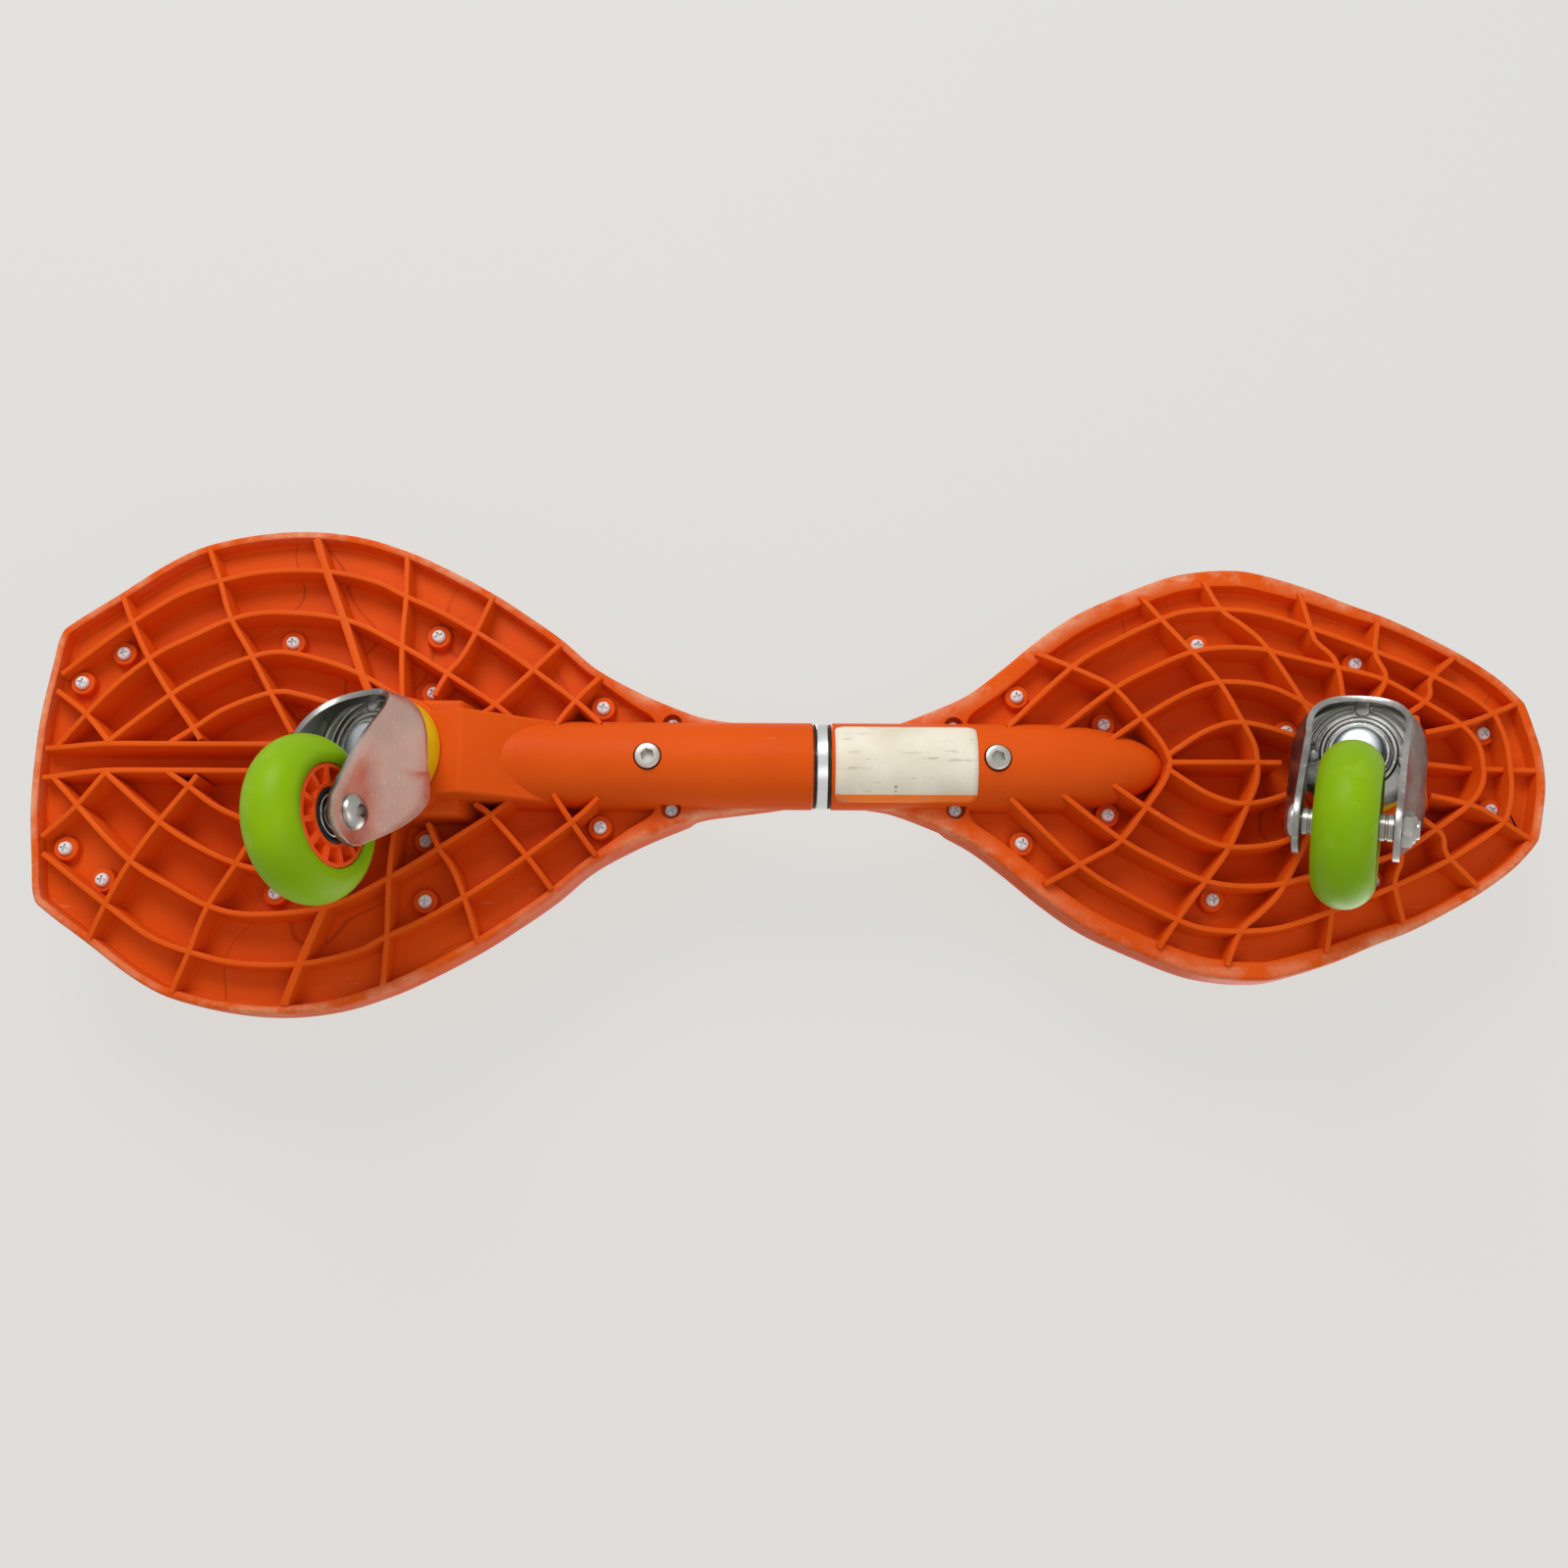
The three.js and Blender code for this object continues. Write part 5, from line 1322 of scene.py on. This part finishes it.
def moulded_plastic(name, colour, deep, scuffed, worn=False):
    """Moulded deck plastic: slow shade drift, fine grain, thin scratches and scuffed outer edges."""
    material, tree, principled, place = shader(name, Specular_IOR_Level=0.07)
    drift = noise(tree, place, 9, 3)
    shade = mix(tree, ramp(tree, drift, 0.3, 0.7), deep, colour)
    contour = math_node(tree, "ABSOLUTE", math_node(tree, "SUBTRACT", noise(tree, place, 14, 1), 0.5), 0)
    flow = ramp(tree, contour, 0.001, 0.006, 0.5, 0)
    flow = math_node(tree, "MULTIPLY", flow, ramp(tree, noise(tree, place, 10, 2), 0.48, 0.56))
    height = add_node(tree, "ShaderNodeSeparateXYZ", {0: place}).outputs["Z"]
    panel_height = BOARD.translation.z * MM
    panel = ramp(tree, height, panel_height - FLOW_DEPTHS[0] * MM, panel_height - FLOW_DEPTHS[1] * MM)
    flow = math_node(tree, "MULTIPLY", flow, panel)
    shade = mix(tree, flow, shade, [value * 0.4 for value in deep])
    scratches = noise(tree, place, 30, 3, (1.5, 14, 14), 0.7)
    fine = ramp(tree, scratches, 0.66, 0.74, 0, 0.35)
    patches = ramp(tree, noise(tree, place, 26, 5), 0.5, 0.62)
    mask = math_node(tree, "MULTIPLY", fine, patches)
    if worn:
        edge = add_node(tree, "ShaderNodeAttribute", attribute_name="wear").outputs["Fac"]
        rub = ramp(tree, noise(tree, place, 55, 6, roughness=0.7), 0.42, 0.62, 0, 0.85)
        zone = ramp(tree, noise(tree, place, 7, 2), 0.4, 0.52, 0.4, 1)
        rubbed = math_node(tree, "MULTIPLY", math_node(tree, "MULTIPLY", edge, rub), zone)
        mask = math_node(tree, "MAXIMUM", mask, rubbed)
    shade = mix(tree, mask, shade, scuffed)
    grain = noise(tree, place, 900, 2)
    waves = noise(tree, place, 60, 2)
    relief = math_node(tree, "ADD", math_node(tree, "MULTIPLY", grain, 0.35), waves)
    gloss = ramp(tree, noise(tree, place, 34, 4), 0.3, 0.7, 0.4, 0.58)
    gloss = math_node(tree, "ADD", gloss, math_node(tree, "MULTIPLY", mask, 0.3))
    finish(tree, principled, shade, gloss, relief, 0.25, 0.0003)
    return material


def urethane(name, colour, deep, pale):
    material, tree, principled, place = shader(name, Specular_IOR_Level=0.12)
    shade = mix(tree, ramp(tree, noise(tree, place, 22, 4), 0.35, 0.65), deep, colour)
    rubbed = ramp(tree, noise(tree, place, 60, 6, roughness=0.65), 0.56, 0.72, 0, 0.4)
    shade = mix(tree, rubbed, shade, pale)
    specks = ramp(tree, noise(tree, place, 210, 2), 0.78, 0.82, 0, 0.8)
    shade = mix(tree, specks, shade, (0.07, 0.09, 0.02))
    gloss = ramp(tree, noise(tree, place, 40, 5), 0.3, 0.7, 0.32, 0.48)
    finish(tree, principled, shade, gloss, noise(tree, place, 350, 4), 0.12, 0.0002)
    return material


def metal(name, bright, dark, low, high, stretch=(1, 1, 1), scuffs=0.5, bump=0.08):
    material, tree, principled, place = shader(name, metallic=1)
    cloud = ramp(tree, noise(tree, place, 45, 5), 0.35, 0.68)
    shade = mix(tree, cloud, dark, bright)
    lines = noise(tree, place, 260, 4, stretch, 0.65)
    marks = ramp(tree, lines, 0.58, 0.72, 0, scuffs)
    shade = mix(tree, marks, shade, (0.86, 0.84, 0.82))
    grime = ramp(tree, noise(tree, place, 120, 6, roughness=0.7), 0.63, 0.74, 0, 0.55)
    shade = mix(tree, grime, shade, (0.1, 0.09, 0.08))
    gloss = ramp(tree, noise(tree, place, 90, 5), 0.3, 0.7, low, high)
    finish(tree, principled, shade, gloss, lines, bump, 0.0001)
    return material


def plain_plastic(name, colour, deep, grime=(0.05, 0.04, 0.03), dirt=0.5, low=0.3, high=0.45):
    material, tree, principled, place = shader(name, Specular_IOR_Level=0.25)
    shade = mix(tree, ramp(tree, noise(tree, place, 60, 4), 0.35, 0.65), deep, colour)
    spots = ramp(tree, noise(tree, place, 170, 6, roughness=0.7), 0.62, 0.75, 0, dirt)
    shade = mix(tree, spots, shade, grime)
    gloss = ramp(tree, noise(tree, place, 80, 4), 0.3, 0.7, low, high)
    finish(tree, principled, shade, gloss, noise(tree, place, 700, 3), 0.12, 0.0001)
    return material


def paper(name, colour, stain, torn):
    material, tree, principled, place = shader(name, Specular_IOR_Level=0.35)
    shade = mix(tree, ramp(tree, noise(tree, place, 50, 5), 0.38, 0.7), colour, stain)
    scratch = ramp(tree, noise(tree, place, 120, 5, (0.5, 4, 4), 0.7), 0.6, 0.66, 0, 0.6)
    shade = mix(tree, scratch, shade, (0.33, 0.27, 0.2))
    holes = ramp(tree, noise(tree, place, 75, 6, roughness=0.6), 0.66, 0.68)
    shade = mix(tree, holes, shade, torn)
    gloss = ramp(tree, noise(tree, place, 60, 3), 0.3, 0.7, 0.38, 0.5)
    finish(tree, principled, shade, gloss, noise(tree, place, 160, 4), 0.15, 0.0001)
    return material


DECK = moulded_plastic("deck_plastic", (0.76, 0.1, 0.006), (0.64, 0.074, 0.004), (0.78, 0.36, 0.2), True)
DECK_TOP = moulded_plastic("deck_top_plastic", (0.72, 0.092, 0.006), (0.62, 0.072, 0.004), (0.74, 0.32, 0.18))
TYRE = urethane("tyre_urethane", (0.26, 0.45, 0.001), (0.2, 0.38, 0.001), (0.38, 0.52, 0.06))
HUB = plain_plastic("hub_plastic", (0.95, 0.1, 0.01), (0.85, 0.078, 0.008), dirt=0.2)
# Rear fork: steel tinted pink, a painted reflection of the orange decks
REAR_FORK_PAINTED_REFLECTION = metal("fork_steel", (0.7, 0.48, 0.41), (0.55, 0.37, 0.31), 0.28, 0.45, (1, 1, 5))
# Front fork: a darker copy of the same steel, painted shade
FRONT_FORK_PAINTED_SHADE = metal("front_fork_steel", (0.3, 0.285, 0.27), (0.15, 0.145, 0.14), 0.28, 0.45, (1, 1, 5))
EDGE_STEEL = metal("edge_steel", (0.46, 0.44, 0.42), (0.22, 0.21, 0.2), 0.28, 0.42, scuffs=0.4)
# Inside faces of the forks: darker steel as painted shade
FORK_INSIDE_PAINTED_SHADE = metal("plated_steel", (0.36, 0.36, 0.34), (0.17, 0.17, 0.16), 0.2, 0.4, (1, 5, 1), 0.3)
ZINC = metal("zinc_plate", (0.52, 0.51, 0.48), (0.29, 0.28, 0.26), 0.22, 0.36, scuffs=0.2)
POLISHED = metal("polished_steel", (0.58, 0.61, 0.65), (0.44, 0.47, 0.51), 0.36, 0.5, scuffs=0.2, bump=0.04)
BEARING = metal("bearing_steel", (0.6, 0.6, 0.59), (0.36, 0.35, 0.34), 0.2, 0.38, scuffs=0.2)
DULL_ALLOY = metal("dull_alloy", (0.5, 0.48, 0.44), (0.34, 0.33, 0.3), 0.25, 0.4, (8, 1, 1), 0.15, 0.05)
ALLOY = metal("turned_alloy", (0.8, 0.81, 0.82), (0.66, 0.67, 0.69), 0.2, 0.32, (8, 1, 1), 0.15, 0.05)
YELLOW = plain_plastic("ring_plastic", (0.82, 0.54, 0.003), (0.7, 0.44, 0.003), dirt=0.8)
RUBBER = plain_plastic(
    "black_rubber", (0.018, 0.017, 0.017), (0.01, 0.01, 0.01), (0.12, 0.11, 0.1), 0.4, 0.4, 0.6
)
BUSH = plain_plastic("bush_plastic", (0.75, 0.72, 0.63), (0.66, 0.63, 0.55), dirt=0.2)
PAPER = paper("label_paper", (0.82, 0.76, 0.62), (0.7, 0.62, 0.47), (0.5, 0.3, 0.18))
STRIP = paper("label_strip", (1, 0.21, 0.004), (0.94, 0.17, 0.004), (0.7, 0.2, 0.06))


def dress_nodes():
    """The inner CAD pieces keep their shape and get a material."""
    kept = {
        "rear_kingpin_nut": ZINC, "front_kingpin_nut": ZINC, "torsion_bar": BEARING,
        "joint_bush": BUSH, "end_bush": BUSH,
    }
    for name, material in kept.items():
        data = frame["nodes"][name].data
        data.materials.clear()
        data.materials.append(material)


def build():
    screw = screw_body()
    screw.data.materials.append(ZINC)
    screw.data.shade_smooth()
    screw.data.set_sharp_from_angle(angle=math.radians(SMOOTH_ANGLE))
    for deck in (rear, front):
        lean = leaning_frame(deck)
        turned = turning_frame(deck)
        axle = axle_frame(deck)
        bolt_side = axle @ Matrix.Rotation(deck.flip, 4, "X")
        deck_frame(deck)
        deck_top(deck)
        screws(deck, screw.data)
        clamp_bolt(deck)
        gasket(deck)
        kingpin(deck, lean)
        dust_ring(deck, lean)
        fork(deck, turned)
        swivel_race(deck, turned)
        axle_bolt(deck, bolt_side)
        axle_nut(deck, bolt_side)
        axle_spacers(deck, axle)
        tyre(deck, axle)
        hub(deck, axle)
        bearings(deck, axle)
    bpy.data.objects.remove(screw)
    torsion_tube()
    label()
    dress_nodes()


# Stage
def fade_out(tree, place):
    """One near the middle of the board, falling to nothing further out."""
    length = add_node(tree, "ShaderNodeVectorMath", {0: place}, operation="LENGTH").outputs["Value"]
    return ramp(tree, length, BACKDROP_FULL, BACKDROP_END, 1, 0)


def stage_plane(name, height, up, glow):
    """Pale plane that camera rays see from one side only, and that lets all light through."""
    data = bpy.data.meshes.new(name)
    corners = [
        (STAGE_HALF * x, STAGE_HALF * y, height) for x, y in ((-1, -1), (1, -1), (1, 1), (-1, 1))
    ]
    data.from_pydata(corners, [], [(0, 1, 2, 3) if up else (3, 2, 1, 0)])
    material = bpy.data.materials.new(name)
    material.use_nodes = True
    tree = material.node_tree
    principled = tree.nodes["Principled BSDF"]
    principled.inputs["Roughness"].default_value = 0.9
    principled.inputs["Specular IOR Level"].default_value = 0.1
    place = add_node(tree, "ShaderNodeTexCoord").outputs["Object"]
    lit = [value * (1 - glow) for value in PALE]
    shade = mix(tree, noise(tree, place, 3, 2), lit, [value * 0.97 for value in lit])
    tree.links.new(shade, principled.inputs["Base Color"])
    principled.inputs["Emission Color"].default_value = opaque(PALE)
    principled.inputs["Emission Strength"].default_value = glow
    rays = add_node(tree, "ShaderNodeLightPath").outputs
    back = add_node(tree, "ShaderNodeNewGeometry").outputs["Backfacing"]
    front_side = math_node(tree, "SUBTRACT", 1, back)
    seen = math_node(tree, "MULTIPLY", rays["Is Camera Ray"], front_side)
    if not up:
        seen = math_node(tree, "MULTIPLY", seen, fade_out(tree, place))
    clear = add_node(tree, "ShaderNodeBsdfTransparent").outputs[0]
    join = add_node(tree, "ShaderNodeMixShader", {0: seen, 1: clear, 2: principled.outputs[0]})
    tree.links.new(join.outputs[0], tree.nodes["Material Output"].inputs["Surface"])
    plane = bpy.data.objects.new(name, data)
    plane.data.materials.append(material)
    bpy.context.scene.collection.objects.link(plane)


def lamp(name, place, size, power):
    data = bpy.data.lights.new(name, "AREA")
    data.shape = "DISK"
    data.size = size
    data.energy = power
    light = bpy.data.objects.new(name, data)
    light.location = place
    light.rotation_euler = (Vector(LAMP_TARGET) - Vector(place)).to_track_quat("-Z", "Y").to_euler()
    bpy.context.scene.collection.objects.link(light)


def sky():
    world = bpy.data.worlds.new("studio")
    world.use_nodes = True
    tree = world.node_tree
    rays = add_node(tree, "ShaderNodeLightPath").outputs
    direct = math_node(tree, "MAXIMUM", rays["Is Camera Ray"], rays["Is Glossy Ray"])
    direct = math_node(tree, "MAXIMUM", direct, rays["Is Transmission Ray"])
    soft = tree.nodes["Background"]
    soft.inputs["Color"].default_value = (1, 1, 1, 1)
    soft.inputs["Strength"].default_value = SKY_STRENGTH
    pale = add_node(tree, "ShaderNodeBackground", {"Color": opaque(PALE), "Strength": 1})
    join = add_node(tree, "ShaderNodeMixShader", {0: direct, 1: soft.outputs[0], 2: pale.outputs[0]})
    tree.links.new(join.outputs[0], tree.nodes["World Output"].inputs["Surface"])
    bpy.context.scene.world = world


def stage():
    stage_plane("floor", 0, True, FLOOR_GLOW)
    stage_plane("backdrop", cad_bounds[1][2] + BACKDROP_GAP * MM, False, BACKDROP_GLOW)
    sky()
    for values in LAMPS:
        lamp(*values)


def camera():
    data = bpy.data.cameras.new("camera")
    data.lens = CAMERA_LENS
    data.sensor_width = CAMERA_LENS
    eye = bpy.data.objects.new("camera", data)
    right = Vector(CAMERA_RIGHT)
    up = Vector(CAMERA_UP)
    back = right.cross(up).normalized()
    turn = Matrix((right, up, back)).transposed().to_4x4()
    eye.matrix_world = Matrix.Translation((BOARD @ Vector(EYE)) * MM) @ turn
    bpy.context.scene.collection.objects.link(eye)
    bpy.context.scene.camera = eye


bpy.context.scene.view_settings.view_transform = "Standard"
camera()
stage()
build()
